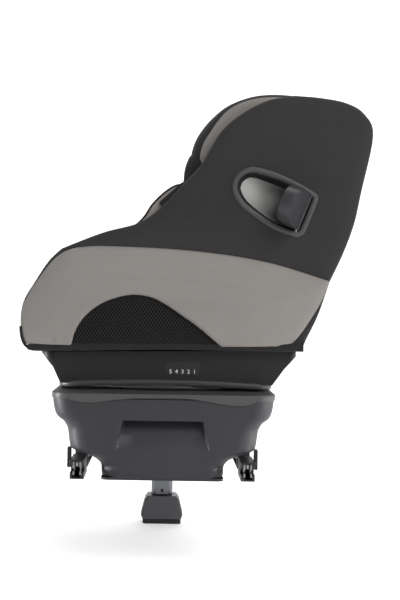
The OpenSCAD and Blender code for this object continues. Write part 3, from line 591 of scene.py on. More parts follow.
def fill(outline, gap, holes=(), seams=()):
    """Points and triangles that fill a flat outline: its edge, close rows inside it, its seams and an even spread."""
    loops = [np.asarray(outline, float)] + [np.asarray(h, float) for h in holes]

    def within(points):
        hits = [inside(points, loop) for loop in loops]
        return hits[0] & ~np.any(hits[1:] + [np.zeros(len(points), bool)], axis=0)

    def depth_of(points):
        return np.min([away(points, closed_line(loop)) for loop in loops], axis=0)

    spread = []
    for loop in loops:
        across = right_of(np.roll(loop, -1, 0) - np.roll(loop, 1, 0))
        for depth in [-row for row in EDGE_ROWS[::-1]] + list(EDGE_ROWS):
            row = loop + across * depth
            spread.append(row[within(row) & (depth_of(row) > 0.93 * abs(depth))])
    low, high = loops[0].min(0), loops[0].max(0)
    levels = np.arange(low[1], high[1], gap * ROW_SHARE)
    grid = np.vstack([[(x, z) for x in np.arange(low[0] + gap / 2 * (i % 2), high[0], gap)]
                      for i, z in enumerate(levels)])
    grid = grid[within(grid)]
    spread.append(grid[depth_of(grid) > EDGE_ROWS[-1] + 0.6 * gap])
    spread = np.vstack(spread)
    for line in seams:
        spread = spread[away(spread, line) > 0.3 * gap]
    points = np.vstack(loops + list(seams) + [spread])
    edges, first = [], 0
    for line, steps in [(loop, len(loop)) for loop in loops] + [(seam, len(seam) - 1) for seam in seams]:
        edges += [(first + i, first + (i + 1) % len(line)) for i in range(steps)]
        first += len(line)
    found = delaunay_2d_cdt([tuple(p) for p in points], edges, [], 1, 1e-6)
    flat = np.array([tuple(v) for v in found[0]])
    triangles = np.array([f for f in found[2] if len(f) == 3])
    return flat, triangles[within(flat[triangles].mean(1))]


def closed_skin(front, back, triangles):
    """Points and faces of a closed form between a front and a back skin on the same triangles."""
    ways = {(a, b) for t in triangles for a, b in zip(t, np.roll(t, -1))}
    rim = [(a, b) for a, b in ways if (b, a) not in ways]
    many = len(front)
    faces = [tuple(t) for t in triangles] + [tuple(t[::-1] + many) for t in triangles]
    return np.vstack([front, back]), faces + [(b, a, a + many, b + many) for a, b in rim]


def roll(distance, reach, low=0.0):
    """Quarter round from low at an edge to 1 at a reach inside it."""
    share = np.clip(distance / reach, 0, 1)
    return low + (1 - low) * np.sqrt(1 - (1 - share) ** 2)


def ease(share):
    """Smooth step from 0 to 1."""
    share = np.clip(share, 0, 1)
    return share * share * (3 - 2 * share)


def mirrored(form):
    """The same form across the middle plane."""
    points, faces = form
    return np.asarray(points, float) * (1, -1, 1), [tuple(f)[::-1] for f in faces]


def two_sided(form):
    """A form on the near side and its twin across the middle plane, as one mesh."""
    return gathered([form, mirrored(form)])


def inset(loop, depth):
    """A closed outline moved inwards by a depth, still point for point."""
    across = right_of(np.roll(loop, -2, 0) - np.roll(loop, 2, 0))
    side = 1 if inside(loop + across, loop).mean() > 0.5 else -1
    return loop + across * np.reshape(depth, (-1, 1)) * side


pod_edge = loop_through(POD_EDGE, 3.5, 8)
scoop_floor = inset(pod_edge, RING_WIDE + SCOOP_WALL)


def columns(x, y, z):
    """Places from their three coordinates, where a single value counts for all."""
    return np.column_stack(np.broadcast_arrays(x, y, z))


def on_pod(flat, height):
    """Places on the near wing from places in the pod window and heights off the wing."""
    u, v = flat.T
    return columns(POD_PLACE[0] + u * POD_COS - v * POD_SIN, -(WALL + height), POD_PLACE[1] + u * POD_SIN + v * POD_COS)


def pod_ring():
    """Moulded ring round the near pod window, rounded to both sides."""
    section = [(0, RING_FOOT), (0, 12), (0.7, 14.6), (2.4, 16.2), (5, RING_HIGH), (8, 16.2), (9.5, 15), (RING_WIDE, 12),
               (RING_WIDE, RING_FOOT)]
    return hoop([on_pod(inset(pod_edge, depth), height) for depth, height in section])


def scoop():
    """Scoop behind the near pod window: upright walls, and a floor that rises from the hinge to the round end."""
    rim = inset(pod_edge, RING_WIDE - 1)
    flat, triangles = fill(rim, 4.0, (), [closed_line(scoop_floor)])
    deep = SCOOP_DEEP - (SCOOP_DEEP - SCOOP_SHALLOW) * ease((flat[:, 0] - 70) / 70)
    drop = 1 - (1 + deep) * roll(away(flat, closed_line(rim)), 7.5)
    return closed_skin(on_pod(flat, drop), on_pod(flat, drop - SCOOP_THICK), triangles)


def scoop_finish_painted_shade():
    """Grey plastic at the round end, with painted shade darkening it to near black towards the hinge, where the open
    flap shades the scoop floor.
    """
    material, place, set_shader = new_finish("scoop_plastic_painted_shade", 0.42)
    along = place.axis(0) * POD_COS + place.axis(2) * POD_SIN
    start = (POD_PLACE[0] * POD_COS + POD_PLACE[1] * POD_SIN) * MM
    # light is 1 at the round end and 0 towards the hinge: the dark end is painted shade standing in for the open flap's
    # shadow.
    light = (along - start).above(0.082, 0.034)
    specks = place.noise(1300, 2)
    set_shader(Base_Color=(light * (0.85 + specks * 0.3)).between((0.006, 0.006, 0.006), (0.46, 0.455, 0.44)),
               Roughness=0.36 + specks * 0.16, Normal=specks.bump(0.0001, 0.6))
    return material


settle(make("pod_rings", *two_sided(pod_ring()), bezel_plastic, 50), "seat", "bezel_plastic", "pod_bezels")
scoops = make("pod_scoops", *two_sided(scoop()), shell_plastic, 50)
scoops.data.materials.append(scoop_finish_painted_shade())
# Outward floor faces inside the window take the second finish, with its painted shade towards the hinge.
for face in scoops.data.polygons:
    dx, dz = face.center.x / MM - POD_PLACE[0], face.center.z / MM - POD_PLACE[1]
    in_window = np.array([[dx * POD_COS + dz * POD_SIN, dz * POD_COS - dx * POD_SIN]])
    outward = face.normal.y * face.center.y > 0
    face.material_index = int(outward and inside(in_window, scoop_floor)[0])
settle(scoops, "seat", "grey_plastic", "pod_cups")


# Side covers. Charcoal and warm grey knitted covers are pulled over foam on each wing and sewn together along
# a curved seam; the edge rolls over the shell, and a black spacer-mesh vent is let into the grey panel.
def knit_fabric(name, colour, pitch=1.5, spread=0.28, ribs=0.5, sheen=0.25):
    """Fine knit: rows of loops, raised fibres, and a little uneven dye."""
    material, place, set_shader = new_finish(
        name, 0.88, Sheen_Weight=sheen, Sheen_Roughness=0.45, Specular_IOR_Level=0.15)
    x, y, z = (place.axis(k).sine(1 / (pitch * MM)) for k in range(3))
    loops = x * z + y * z + x * y + z * ribs
    fibres = place.noise(1100, 3)
    dye = place.noise(11, 4)
    set_shader(
        Base_Color=(0.5 + loops * 0.14 + (fibres - 0.5) * 0.5 + (dye - 0.5) * 0.35).between(*shades(colour, spread)),
        Roughness=0.8 + fibres * 0.16,
        Normal=(loops * 0.5 + fibres).bump(0.0003, 0.55))
    return material


def spacer_mesh(name, thread, hole, wide=5.4, tall=7.6):
    """Open spacer mesh: a net of threads over dark holes."""
    material, place, set_shader = new_finish(name, 0.85, Specular_IOR_Level=0.08)
    x, z = place.axis(0) * (1 / (wide * MM)), place.axis(2) * (1 / (tall * MM))
    rising, falling = (x + z).sine(), (x - z).sine()
    net = rising.maths("MAXIMUM", rising, falling)
    threads = net.above(0.55, 0.25)
    fibres = place.noise(900, 2)
    set_shader(
        Base_Color=(threads * (0.7 + fibres * 0.5)).between(hole, thread),
        Roughness=0.9 - threads * 0.25,
        Normal=(net + fibres * 0.3).bump(0.0009, 0.8))
    return material


charcoal_knit = knit_fabric("charcoal_knit", (0.029, 0.0275, 0.0285), sheen=0.12)
grey_knit = knit_fabric("grey_knit", (0.225, 0.211, 0.199), spread=0.16, sheen=0.15)
vent_mesh = spacer_mesh("vent_mesh", (0.023, 0.022, 0.0225), (0.002, 0.002, 0.002))
binding_tape = knit_fabric("binding_tape", (0.018, 0.017, 0.0175), 1.1, 0.3, 0.8, 0.08)
NOSE_TIP = (-241, 290)
nose = spline([(-237, 219), (-245, 251), NOSE_TIP, (-224, 321), (-199, 360), (-177, 382)])
wing = spline([(-177, 382), (-108, 410), (-46, 428), (-6, 458), (29, 496), (57, 527), (75, 559), (95, 590),
               (130, 619), (172, 640), (216, 648)])
rear = spline([(216, 648), (259, 645), (303, 637), (334, 619), (350, 582), (331, 485), (320, 432), (302, 381),
               (280, 333)])
rear_low = spline([(280, 333), (261, 276), (241, 233), (235, 218)])
seam = spline([(280, 333), (168, 365), (39, 382), (-100, 387.5), (-148, 384.5)])
grey_nose = spline([(-237, 219), (-245, 251), NOSE_TIP, (-222, 320.5), (-195.5, 357), (-173, 376), (-148, 384.5)])
grey_rear = spline([(211, 221), (232, 243), (263, 293), (280, 333)])
vent = spline([(-158, 218), (-152, 241), (-139, 263), (-119, 282), (-93, 296), (-55, 305), (-15, 298), (32, 269),
               (58, 251), (97, 219)])
crease = spline([(-240, 271), (-222, 258), (-202, 241), (-181, 222)])
nose_top, grey_top = (line[line[:, 1] > NOSE_TIP[1] + 0.5] for line in (nose, grey_nose))
foot_rear, foot_front, vent_foot = (
    np.array(ends) for ends in ((grey_rear[0], vent[-1]), (vent[0], nose[0]), (vent[-1], vent[0])))
COVER_PAD, COVER_CROWN, COVER_GAP, COVER_SHARP = 8.0, 6.5, 7.0, 55
SEAM_ROLL, WING_ROLL, REAR_ROLL, TIP_ROLL = (6, 0.6), (15, 0.06), (24, 0.02), (46, 0.04)
HEEL_ROLL, FOOT_ROLL, VENT_ROLL = (12, 0.45), (10, 0.7), (7, 0.72)
CREASE_DEEP, CREASE_WIDE, WINDOW_INSET, RIM_MIDDLE, RIM_HALF = 2.2, 2.6, 2.0, -199.6, 8.0


def near_side(flat, height, wall=WALL):
    """Places on the near side from places in the side view and heights off a wall."""
    return columns(flat[:, 0], -(wall + height), flat[:, 1])


def side_form(flat, triangles, height, under=0.0, wall=WALL):
    """Closed form on the near side, from one height off a wall down to another."""
    return closed_skin(near_side(flat, height, wall), near_side(flat, under, wall), triangles)


def wing_form():
    """Charcoal cover of the near wing down to a thin end along the nose, with the pod window left open."""
    window = on_pod(inset(pod_edge, WINDOW_INSET), 0)[:, (0, 2)]
    end, start = np.vstack([grey_top[::-1], [NOSE_TIP]]), np.vstack([[NOSE_TIP], nose_top])
    flat, triangles = fill(joined(start, wing, rear, seam, end), COVER_GAP, [window])
    front, back, low = (away(flat, line) for line in (np.vstack([start, wing]), rear, np.vstack([seam, end])))
    puff = COVER_PAD + COVER_CROWN * (1 - np.exp(-np.minimum(np.minimum(front, back), low) / 55))
    height = puff * roll(front, *WING_ROLL) * roll(back, *REAR_ROLL) * roll(low, *SEAM_ROLL)
    return side_form(flat, triangles, height)


def grey_form():
    """Warm grey panel under the seam, cut out round the vent, with a crease across the nose."""
    outline = joined(grey_nose, seam[::-1], grey_rear[::-1], foot_rear, vent[::-1], foot_front)
    flat, triangles = fill(outline, COVER_GAP)
    tip, low, heel, hole = (away(flat, line) for line in (nose, seam, grey_rear, vent))
    foot = np.minimum(away(flat, foot_rear), away(flat, foot_front))
    puff = COVER_PAD + (COVER_CROWN + 1) * (1 - np.exp(-np.minimum(np.minimum(tip, low), heel) / 50))
    height = puff * roll(tip, *TIP_ROLL) * roll(low, *SEAM_ROLL) * roll(heel, *HEEL_ROLL)
    height = height * roll(foot, *FOOT_ROLL) * roll(hole, *VENT_ROLL)
    height -= CREASE_DEEP * np.exp(-((away(flat, crease) / CREASE_WIDE) ** 2))
    return side_form(flat, triangles, height)


def vent_form():
    """Mesh vent, a little sunk between the grey panel's edges."""
    flat, triangles = fill(joined(vent, vent_foot), 6.0)
    edge = away(flat, np.vstack([vent, vent_foot]))
    return side_form(flat, triangles, 6.5 + 4.5 * ease(edge / 45), 1.0)


def gusset_form():
    """Charcoal gusset behind the grey panel, down to the hem."""
    flat, triangles = fill(joined(rear_low, [rear_low[-1], grey_rear[0]], grey_rear), 5.0)
    height = 6.5 * roll(away(flat, grey_rear), 7, 0.5) * roll(away(flat, rear_low), 16, 0.05)
    return side_form(flat, triangles, height)


def edge_roll(line, reach=8.5, end=8.5):
    """Rolled edge of a cover over the shell's rim, along a line in the side view, its reach changing to the end."""
    line = evenly(line, 6)
    rows = []
    for p, n, deep in zip(line, right_of(np.gradient(line, axis=0)), np.linspace(reach, end, len(line))):
        at = p + n * deep
        rows.append([(at[0] - n[0] * deep * math.cos(a), RIM_MIDDLE + RIM_HALF * math.sin(a),
                      at[1] - n[1] * deep * math.cos(a)) for a in circle(14)])
    return capped(rows)


def cover(name, form, finish, slot, *nodes, body="seat", fill_share=0.7):
    """A padded cover on a body in place of CAD nodes."""
    piece = settle(make(name, *form, finish, COVER_SHARP), body, slot, *nodes)
    return piece


wing_cover = gathered([wing_form(), gusset_form(), edge_roll(wing), edge_roll(nose_top, 2.2, 8.5)])
grey_cover = gathered([grey_form(), edge_roll(nose[nose[:, 1] < 300], 6)])
cover("wing_cover_near", wing_cover, charcoal_knit, "charcoal_fabric", "wing_cover_left")
cover("wing_cover_far", mirrored(wing_cover), charcoal_knit, "charcoal_fabric", "wing_cover_right")
cover("grey_panel_near", grey_cover, grey_knit, "grey_fabric", "side_panel_left")
cover("grey_panel_far", mirrored(grey_cover), grey_knit, "grey_fabric", "side_panel_right")
cover("mesh_vents", two_sided(vent_form()), vent_mesh, "mesh_fabric", "mesh_panels")


# Hem, back and front covers. A gathered binding tape closes the foot of both sides; the back of the shell has a
# three-panel charcoal cover, and the lip under the child's knees a grey padded one.
def wave(angle, power=0.6):
    """Cosine of an angle, squared off."""
    return math.copysign(abs(math.cos(angle)) ** power, math.cos(angle))


def tube(line, radius):
    """Round cord of a radius along a line in space."""
    run = unit(np.gradient(np.asarray(line, float), axis=0))
    side = unit(np.cross(run, (0, 1, 0)))
    up = np.cross(side, run)
    return capped([[p + radius * (s * math.cos(a) + u * math.sin(a)) for a in circle(8)]
                   for p, s, u in zip(line, side, up)])


HEM_FOOT = ([-236, -222, 11, 236], [210, 207.2, 213, 212.6])
HEM_TOP = ([-236, -156, 93, 218, 236], [218.5, 221, 224, 226, 231])
HEM_END = [(-222, 212), (-232, 213.5), (-239.5, 222), (-243.5, 236), (-244.5, 249)]
HEM_END_OUT, HEM_END_RADIUS, HEM_OFF = 206.0, 2.6, 4.9


def hem_form():
    """Binding tape at the foot of the near side, lightly gathered, and its thin end round the nose."""
    rows = []
    for x in np.arange(-232, 237, 4.0):
        low, high = np.interp(x, *HEM_FOOT), np.interp(x, *HEM_TOP)
        gather = 4.1 + 0.35 * math.sin(x / 3.1) + 0.3 * math.sin(x / 5.3 + 1)
        rows.append([(x, -(WALL + HEM_OFF + gather * wave(a)),
                      (low + high) / 2 + (high - low) / 2 * wave(a - math.pi / 2)) for a in circle(20)])
    return gathered([capped(rows), tube(near_side(spline(HEM_END), 0, HEM_END_OUT), HEM_END_RADIUS)])


BACK_HALF, BACK_WIDER, BACK_THICK, BACK_SEAM, BACK_ACROSS = 183, 21, 6.4, 112, 61
BACK_BRIM, CHEEK_TOP = 286, 272


def back_form():
    """Cover over the back of the shell, rounded at its edges and drawn in along two seams."""
    path = evenly(np.vstack([rear[rear[:, 0] > BACK_BRIM][:-1], rear_low]), 8)
    front, inner = [], []
    for p, n in zip(path, -right_of(np.gradient(path, axis=0))):
        half = BACK_HALF + BACK_WIDER * ease((p[1] - CHEEK_TOP) / 16)
        for y in np.linspace(-half, half, BACK_ACROSS):
            seam_dip = 1.8 * math.exp(-(((abs(y) - BACK_SEAM) / 3.2) ** 2))
            push = 2.2 * (1 - (y / half) ** 2) - 5.5 * (1 - roll(half - abs(y), 18)) - seam_dip
            front.append((p[0] + n[0] * push, y, p[1] + n[1] * push))
            inner.append((p[0] - n[0] * BACK_THICK, y, p[1] - n[1] * BACK_THICK))
    quads = loft([range(BACK_ACROSS)] * len(path), closed=False)
    return closed_skin(np.array(front), np.array(inner), [np.array(q) for q in quads])


KNEE_X, KNEE_HALF, KNEE_SEAM = -205, 195.7, 84
KNEE_OUT = [(-21, 212), (-37, 228), (-42, 256), (-35, 288), (-17, 301), (0, 300)]
KNEE_IN = [(12.5, 297), (12.5, 285.5), (5, 278), (3, 246), (0, 212)]
HOLLOW_DEEP, HOLLOW_HALF, HOLLOW_FOOT, HOLLOW_TOP = 9, 24, 261, 293


def front_form():
    """Padded lip under the knees, with two seams drawn in and a hollow behind the harness adjuster."""
    section = np.vstack([evenly(spline(KNEE_OUT), 6), KNEE_IN])
    rows = []
    for y in np.linspace(-KNEE_HALF, KNEE_HALF, 99):
        puff = 0.72 + 0.28 * roll(KNEE_HALF - abs(y), 22) - 0.06 * math.exp(-(((abs(y) - KNEE_SEAM) / 3.4) ** 2))
        deep = HOLLOW_DEEP * ease((HOLLOW_HALF - abs(y)) / 7)
        hollow = [deep * ease((z - HOLLOW_FOOT) / 6) * ease((HOLLOW_TOP - z) / 6) * (x < -20) for x, z in section]
        rows.append([(KNEE_X + (x * puff if x < 0 else x) + push, y, z) for (x, z), push in zip(section, hollow)])
    return capped(rows)


cover("hem_tapes", two_sided(hem_form()), binding_tape, "binding_fabric", "hem_binding")
cover("back_panels", back_form(), charcoal_knit, "charcoal_fabric", "back_cover")
cover("knee_lip", front_form(), grey_knit, "grey_fabric", "front_panel")


# Cushions. Foam pads in knitted covers lie on the seat pan and back, and a puffy grey bolster edged with dark
# piping lines each wing; seams pull the covers down between the quilted fields.
BACK_FOOT, BACK_LEAN = (205, 236), math.radians(12)
PAN_REAR, PAN_RISE = (212, 250), math.radians(6)
PAN_MIDDLE, PAN_LONG, PAN_WIDE, STRAP_SLOT = -222, 350, 366, -197
BACK_MIDDLE, BACK_LONG, BACK_WIDE = 150, 186, 342


def on_back(up, across, off):
    """Places from heights up the back, places across it and heights off it."""
    c, s = math.cos(BACK_LEAN), math.sin(BACK_LEAN)
    return columns(BACK_FOOT[0] + up * s - off * c, across, BACK_FOOT[1] + up * c + off * s)


def on_pan(along, across, off):
    """Places from places along and across the seat pan and heights off it."""
    c, s = math.cos(PAN_RISE), math.sin(PAN_RISE)
    return columns(PAN_REAR[0] + along * c + off * s, across, PAN_REAR[1] - along * s + off * c)


def cushion_outline(long, wide, power=4.0, gap=5.0):
    """Rounded rectangle, points an even gap apart."""
    turn = np.linspace(0, 2 * math.pi, 181)
    x = np.sign(np.cos(turn)) * np.abs(np.cos(turn)) ** (2 / power) * long / 2
    y = np.sign(np.sin(turn)) * np.abs(np.sin(turn)) ** (2 / power) * wide / 2
    return evenly(np.column_stack([x, y]), gap)[:-1]


def quilted(outline, seams, place, thick, crown, base=0.3, edge=16, pull=5.0, gap=7.0, holes=()):
    """A stuffed cover on a flat base, drawn down along its seams: its form, and which points are sewn fast."""
    seams = [evenly(line, gap * 0.8) for line in seams]
    flat, triangles = fill(outline, gap, holes, seams)
    from_edge = away(flat, closed_line(outline))
    height = (thick + crown * ease(from_edge / 90)) * roll(from_edge, edge, 0.4)
    sewn = from_edge < 0.5
    for line in seams:
        height -= pull * np.exp(-away(flat, line) / 7.0) * ease(from_edge / 12)
        sewn |= away(flat, line) < 0.5
    form = closed_skin(place(flat, height + base), place(flat, base), triangles)
    return form, np.concatenate([sewn, np.ones(len(flat), bool)])


def plump(piece, held, reach, pressure=3.0, slack=0.035, frames=20):
    """Stuffs a cover as cloth, held where it is sewn and blown up from inside, moving no further than a reach in mm."""
    start = np.array([v.co for v in piece.data.vertices])
    piece.vertex_groups.new(name="held").add([int(i) for i in np.flatnonzero(held)], 1.0, "REPLACE")
    cloth = piece.modifiers.new("stuffing", "CLOTH")
    feel = {"quality": 5, "mass": 0.25, "bending_stiffness": 0.4, "shrink_min": -slack, "vertex_group_mass": "held",
            "use_pressure": True, "uniform_pressure_force": pressure}
    for setting, value in feel.items():
        setattr(cloth.settings, setting, value)
    cloth.settings.effector_weights.gravity = 0
    cloth.collision_settings.use_collision = False
    cloth.point_cache.frame_start, cloth.point_cache.frame_end = 1, frames
    for step in range(1, frames + 1):
        scene.frame_set(step)
    blown = piece.evaluated_get(bpy.context.evaluated_depsgraph_get()).data
    moved = np.array([v.co for v in blown.vertices]) - start
    moved *= np.minimum(1, reach * MM / np.maximum(np.linalg.norm(moved, axis=1), 1e-9))[:, None]
    piece.modifiers.remove(cloth)
    piece.vertex_groups.clear()
    piece.data.vertices.foreach_set("co", (start + moved).ravel())
    piece.data.update()
    scene.frame_set(1)
    smooth = piece.modifiers.new("smooth", "SUBSURF")
    smooth.levels = smooth.render_levels = 1


def pad(name, node, outline, seams, place, reach, body="seat", **sewing):
    """A quilted charcoal pad, stuffed, in place of a CAD node."""
    form, sewn = quilted(outline, seams, place, **sewing)
    plump(cover(name, form, charcoal_knit, "charcoal_fabric", node, body=body), sewn, reach)


def pair(line):
    """A seam and its twin on the other side."""
    return [line, [(along, -across) for along, across in line]]


slot_edge = np.array([(2.5, -21), (2.5, 0), (2.5, 21), (-2.5, 21), (-2.5, 0), (-2.5, -21)])
pad("seat_pad", "seat_cushion", cushion_outline(PAN_LONG, PAN_WIDE),
    pair([(-158, -96), (-40, -104), (110, -118), (162, -120)]) + [[(70, -112), (62, 0), (70, 112)]],
    lambda flat, height: on_pan(flat[:, 0] + PAN_MIDDLE, flat[:, 1], height), 7,
    thick=24, crown=9, holes=[slot_edge + (STRAP_SLOT - PAN_MIDDLE, 0)])
pad("back_pad", "back_cushion", cushion_outline(BACK_LONG, BACK_WIDE),
    pair([(-86, -104), (0, -110), (86, -100)]) + [[(-12, -104), (-18, 0), (-12, 104)]],
    lambda flat, height: on_back(flat[:, 0] + BACK_MIDDLE, flat[:, 1], height), 7, thick=26, crown=9)
GUSSET = [(60, 272), (100, 267.5), (150, 263), (178, 261.6), (195, 263.5), (204, 271), (209, 283), (213.5, 302),
          (217.5, 322)]
GUSSET_HALF, GUSSET_WIDER, GUSSET_HIGH, GUSSET_OUT = 5.9, 4.2, 4.2, 195.4


def gusset_roll():
    """Padded roll along the near side of the pan and up the back, and a strip outside the cradle's cheek."""
    line = evenly(spline(GUSSET), 5)
    rows = []
    for p, n in zip(line, -right_of(np.gradient(line, axis=0))):
        half = GUSSET_HALF + GUSSET_WIDER * ease((p[0] - 160) / 14)
        rows.append([(p[0] + n[0] * GUSSET_HIGH * wave(t - math.pi / 2), half * (1 + wave(t)) - GUSSET_OUT,
                      p[1] + n[1] * GUSSET_HIGH * wave(t - math.pi / 2)) for t in circle(16)])
    low = rear_low[::-1]
    strip = [[(np.interp(z, low[:, 1], low[:, 0]) - 5 + 3.4 * wave(t - math.pi / 2), -192.5 + 3.0 * wave(t), z)
              for t in circle(16)] for z in np.linspace(219, 279, 14)]
    return gathered([capped(rows), capped(strip)])


cover("corner_gussets", two_sided(gusset_roll()), charcoal_knit, "charcoal_fabric", fill_share=0.8)
BOLSTER = [(-110, 318), (-118, 350), (-90, 390), (-42, 431), (-22, 460), (2, 483), (25, 493), (56, 480), (88, 430),
           (92, 372), (60, 326), (-20, 312)]
BOLSTER_OUT, PIPING_OFF, PIPING_RADIUS = 195.7, 3.5, 3.4
bolster_loop = loop_through(BOLSTER, 5.0)
bolster_form, bolster_sewn = quilted(
    bolster_loop, [[(-60, 330), (-20, 400), (24, 466)]], lambda flat, height: near_side(flat, -height, BOLSTER_OUT),
    thick=13, crown=8, base=0, edge=12, pull=3.0, gap=6.5)
bolsters = cover("wing_bolsters", two_sided(bolster_form), grey_knit, "grey_fabric", "side_bolsters")
plump(bolsters, np.concatenate([bolster_sewn, bolster_sewn]), 5)
piping_line = near_side(np.vstack([bolster_loop, bolster_loop[:2]]), -PIPING_OFF, BOLSTER_OUT)
piping = make("bolster_piping", *two_sided(tube(piping_line, PIPING_RADIUS)), binding_tape, 60)
settle(piping, "seat", "binding_fabric")


# Strap keepers. A short sleeve of woven tape is sewn flat on the upper edge of each wing, to park a shoulder
# strap while the child is lifted in.
KEEPER_MIDDLE, KEEPER_TURN, KEEPER_OUT = (11.0, 476.6), math.radians(42), -198.6
KEEPER_LONG, KEEPER_TALL, KEEPER_THICK, KEEPER_SQUARE, KEEPER_END = 26.5, 6.2, 4.8, 0.45, 0.86


def keeper_form():
    """Woven sleeve on the near wing's edge that parks a shoulder strap."""
    c, s = math.cos(KEEPER_TURN), math.sin(KEEPER_TURN)
    rows = []
    for share in np.concatenate([[-1], np.linspace(-0.985, 0.985, 16), [1]]):
        shrink = KEEPER_END if abs(share) == 1 else 1.0
        rows.append([(KEEPER_MIDDLE[0] + share * KEEPER_LONG * c - shrink * KEEPER_TALL * wave(a, KEEPER_SQUARE) * s,
                      KEEPER_OUT + shrink * KEEPER_THICK * wave(a - math.pi / 2, KEEPER_SQUARE),
                      KEEPER_MIDDLE[1] + share * KEEPER_LONG * s + shrink * KEEPER_TALL * wave(a, KEEPER_SQUARE) * c)
                     for a in circle(24)])
    return capped(rows)


keepers = make("keeper_sleeves", *two_sided(keeper_form()), binding_tape, 50)
settle(keepers, "seat", "black_plastic", "harness_keepers")


# Headrest. A black moulded frame slides up and down the back on a trigger; a padded front and two deep padded
# wings are sewn over it in charcoal, with a grey field let into each wing's outer face.
HEAD = [(49, 523), (42, 544), (45, 565), (55, 588), (77, 616), (108, 641), (152, 657), (200, 660), (243, 653),
        (261, 634), (246.5, 560), (232.5, 496), (180, 486), (120, 494), (80, 507)]
LOBE = [(58, 556), (42, 552), (33, 534), (29.5, 514), (31, 500), (40, 490), (66, 487), (96, 500), (84, 535)]
HEAD_IN, HEAD_BAND, HEAD_BAND_TOP, LOBE_OUT = 126, 15.0, 6.5, 143
HEAD_MIDDLE, HEAD_LONG, HEAD_WIDE = 328, 130, 240
dress(["headrest_frame"], shell_plastic, 1.5)
dress(["headrest_handle"], button_plastic, 1.6)


head_loop = loop_through(HEAD, 5.0)
head_seam = inset(head_loop, HEAD_BAND_TOP + (HEAD_BAND - HEAD_BAND_TOP) * ease((652 - head_loop[:, 1]) / 60))
head_seam = head_seam[away(head_seam, closed_line(head_loop)) > 6]
head_seam = evenly(closed_line(head_seam), 5.0)


def head_wing_form():
    """Near headrest wing: rolled at both edges, drawn in along the seam round the grey field."""
    flat, triangles = fill(head_loop, 6.0, (), [head_seam])
    from_edge = away(flat, closed_line(head_loop))
    outer = 12 + 22 * roll(from_edge, 17) - 2.6 * np.exp(-away(flat, head_seam) / 1.8)
    return side_form(flat, triangles, outer, 10 * (1 - roll(from_edge, 14)), HEAD_IN)


def lobe_form():
    """Small stuffed lobe at the foot of the near headrest wing."""
    loop = loop_through(LOBE, 4.0)
    flat, triangles = fill(loop, 5.0)
    puff = roll(away(flat, closed_line(loop)), 15)
    return side_form(flat, triangles, 15 * puff, -13 * puff, LOBE_OUT)


head_wings = cover("head_wings", two_sided(gathered([head_wing_form(), lobe_form()])), charcoal_knit,
                   "charcoal_fabric", "headrest_wings", body="headrest")
head_wings.data.materials.append(grey_knit)
for face in head_wings.data.polygons:
    middle = np.array([[face.center.x, face.center.z]]) / MM
    if abs(face.center.y) / MM > HEAD_IN + 20 and inside(middle, head_seam[:-1])[0]:
        face.material_index = 1
pad("head_pad", "headrest_pad", cushion_outline(HEAD_LONG, HEAD_WIDE, 3.4), pair([(-58, -62), (0, -70), (58, -62)]),
    lambda flat, height: on_back(flat[:, 0] + HEAD_MIDDLE, flat[:, 1], height), 6, body="headrest",
    thick=20, crown=9, base=22.3, edge=15, pull=4.0, gap=6.5)


# Harness. Woven polyester webbing comes through the back, over the shoulders under sewn pads, and down to a
# buckle on the crotch strap; steel tongues end the straps, and a red button in the buckle frees them.
webbing = knit_fabric("webbing", (0.02, 0.02, 0.021), 1.3, 0.35, 0.9, 0.1)
red_plastic = moulded_plastic("red_plastic", (0.42, 0.018, 0.014), 0.34)
STRAP_WIDE, STRAP_THICK, SHOULDER = 38, 2.0, -68
dress(["buckle", "adjuster"], connector_plastic, 1.6)
dress(["buckle_button"], red_plastic, 1.4)
dress(["buckle_tongues"], jaw_steel, 0.4)
dress(["adjuster_button"], button_plastic, 0.6)


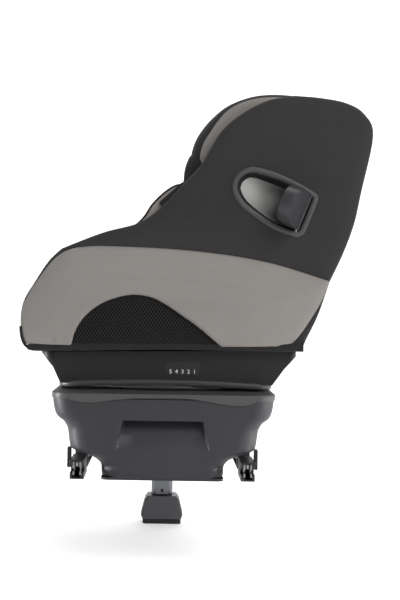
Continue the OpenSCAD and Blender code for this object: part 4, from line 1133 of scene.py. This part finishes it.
def ribbon(route, across):
    """Webbing along a route, with its width laid towards a direction."""
    run = unit(np.gradient(route, axis=0))
    across = unit(np.asarray(across, float) - run * np.sum(run * across, axis=1)[:, None])
    edge = STRAP_WIDE / 2
    upper = [(-edge, 0), (-edge + 0.5, 0.42), (-edge + 2, 0.5), (0, 0.5), (edge - 2, 0.5), (edge - 0.5, 0.42)]
    section = upper + [(-u, -v) for u, v in upper]
    return capped([[p + w * u + f * v * STRAP_THICK for u, v in section]
                   for p, w, f in zip(route, across, np.cross(run, across))])


def shoulder_route():
    """The near shoulder strap, from the slot in the back to the buckle."""
    up = np.array([(251, 3), (251, 24), (246, 38), (236, 43.6), (200, 44), (160, 44), (120, 44)], float)
    high = on_back(up[:, 0], SHOULDER, up[:, 1])
    return spline(np.vstack([high, [(152, -58, 352), (105, -40, 366), (60, -26, 373), (31, -20, 371)]]), 6)


LAP_ROUTE = spline([(44, -38, 350), (80, -90, 338), (125, -140, 316), (150, -166, 302)], 8)
CROTCH_ROUTE = on_pan(STRAP_SLOT, 0, np.linspace(0.3, 46, 12))
PAD_MIDDLE, PAD_LONG, PAD_WIDE, PAD_FOOT = 182, 114, 58, 47.0


def shoulder_pad_form():
    """Near shoulder pad, a stuffed sleeve with a sewn border."""
    outline = cushion_outline(PAD_LONG, PAD_WIDE, 5.0, 4.0)
    flat, triangles = fill(outline, 5.0)
    from_edge = away(flat, closed_line(outline))
    top = 8 * roll(from_edge, 7, 0.3) + 5 * ease(from_edge / 24) - 1.6 * np.exp(-np.abs(from_edge - 7) / 1.2)
    up, across = flat[:, 0] + PAD_MIDDLE, flat[:, 1] + SHOULDER
    return closed_skin(on_back(up, across, top + PAD_FOOT), on_back(up, across, PAD_FOOT), triangles)


shoulder_straps = two_sided(gathered([ribbon(shoulder_route(), (0, 1, 0)), ribbon(LAP_ROUTE, (0.55, 0.1, 0.8))]))
settle(make("harness_webbing", *shoulder_straps, webbing, 40), "seat", "webbing", "harness_straps")
settle(make("crotch_webbing", *ribbon(CROTCH_ROUTE, (0, 1, 0)), webbing, 40), "seat", "webbing", "crotch_strap")
cover("strap_pads", two_sided(shoulder_pad_form()), charcoal_knit, "charcoal_fabric", "shoulder_pads")
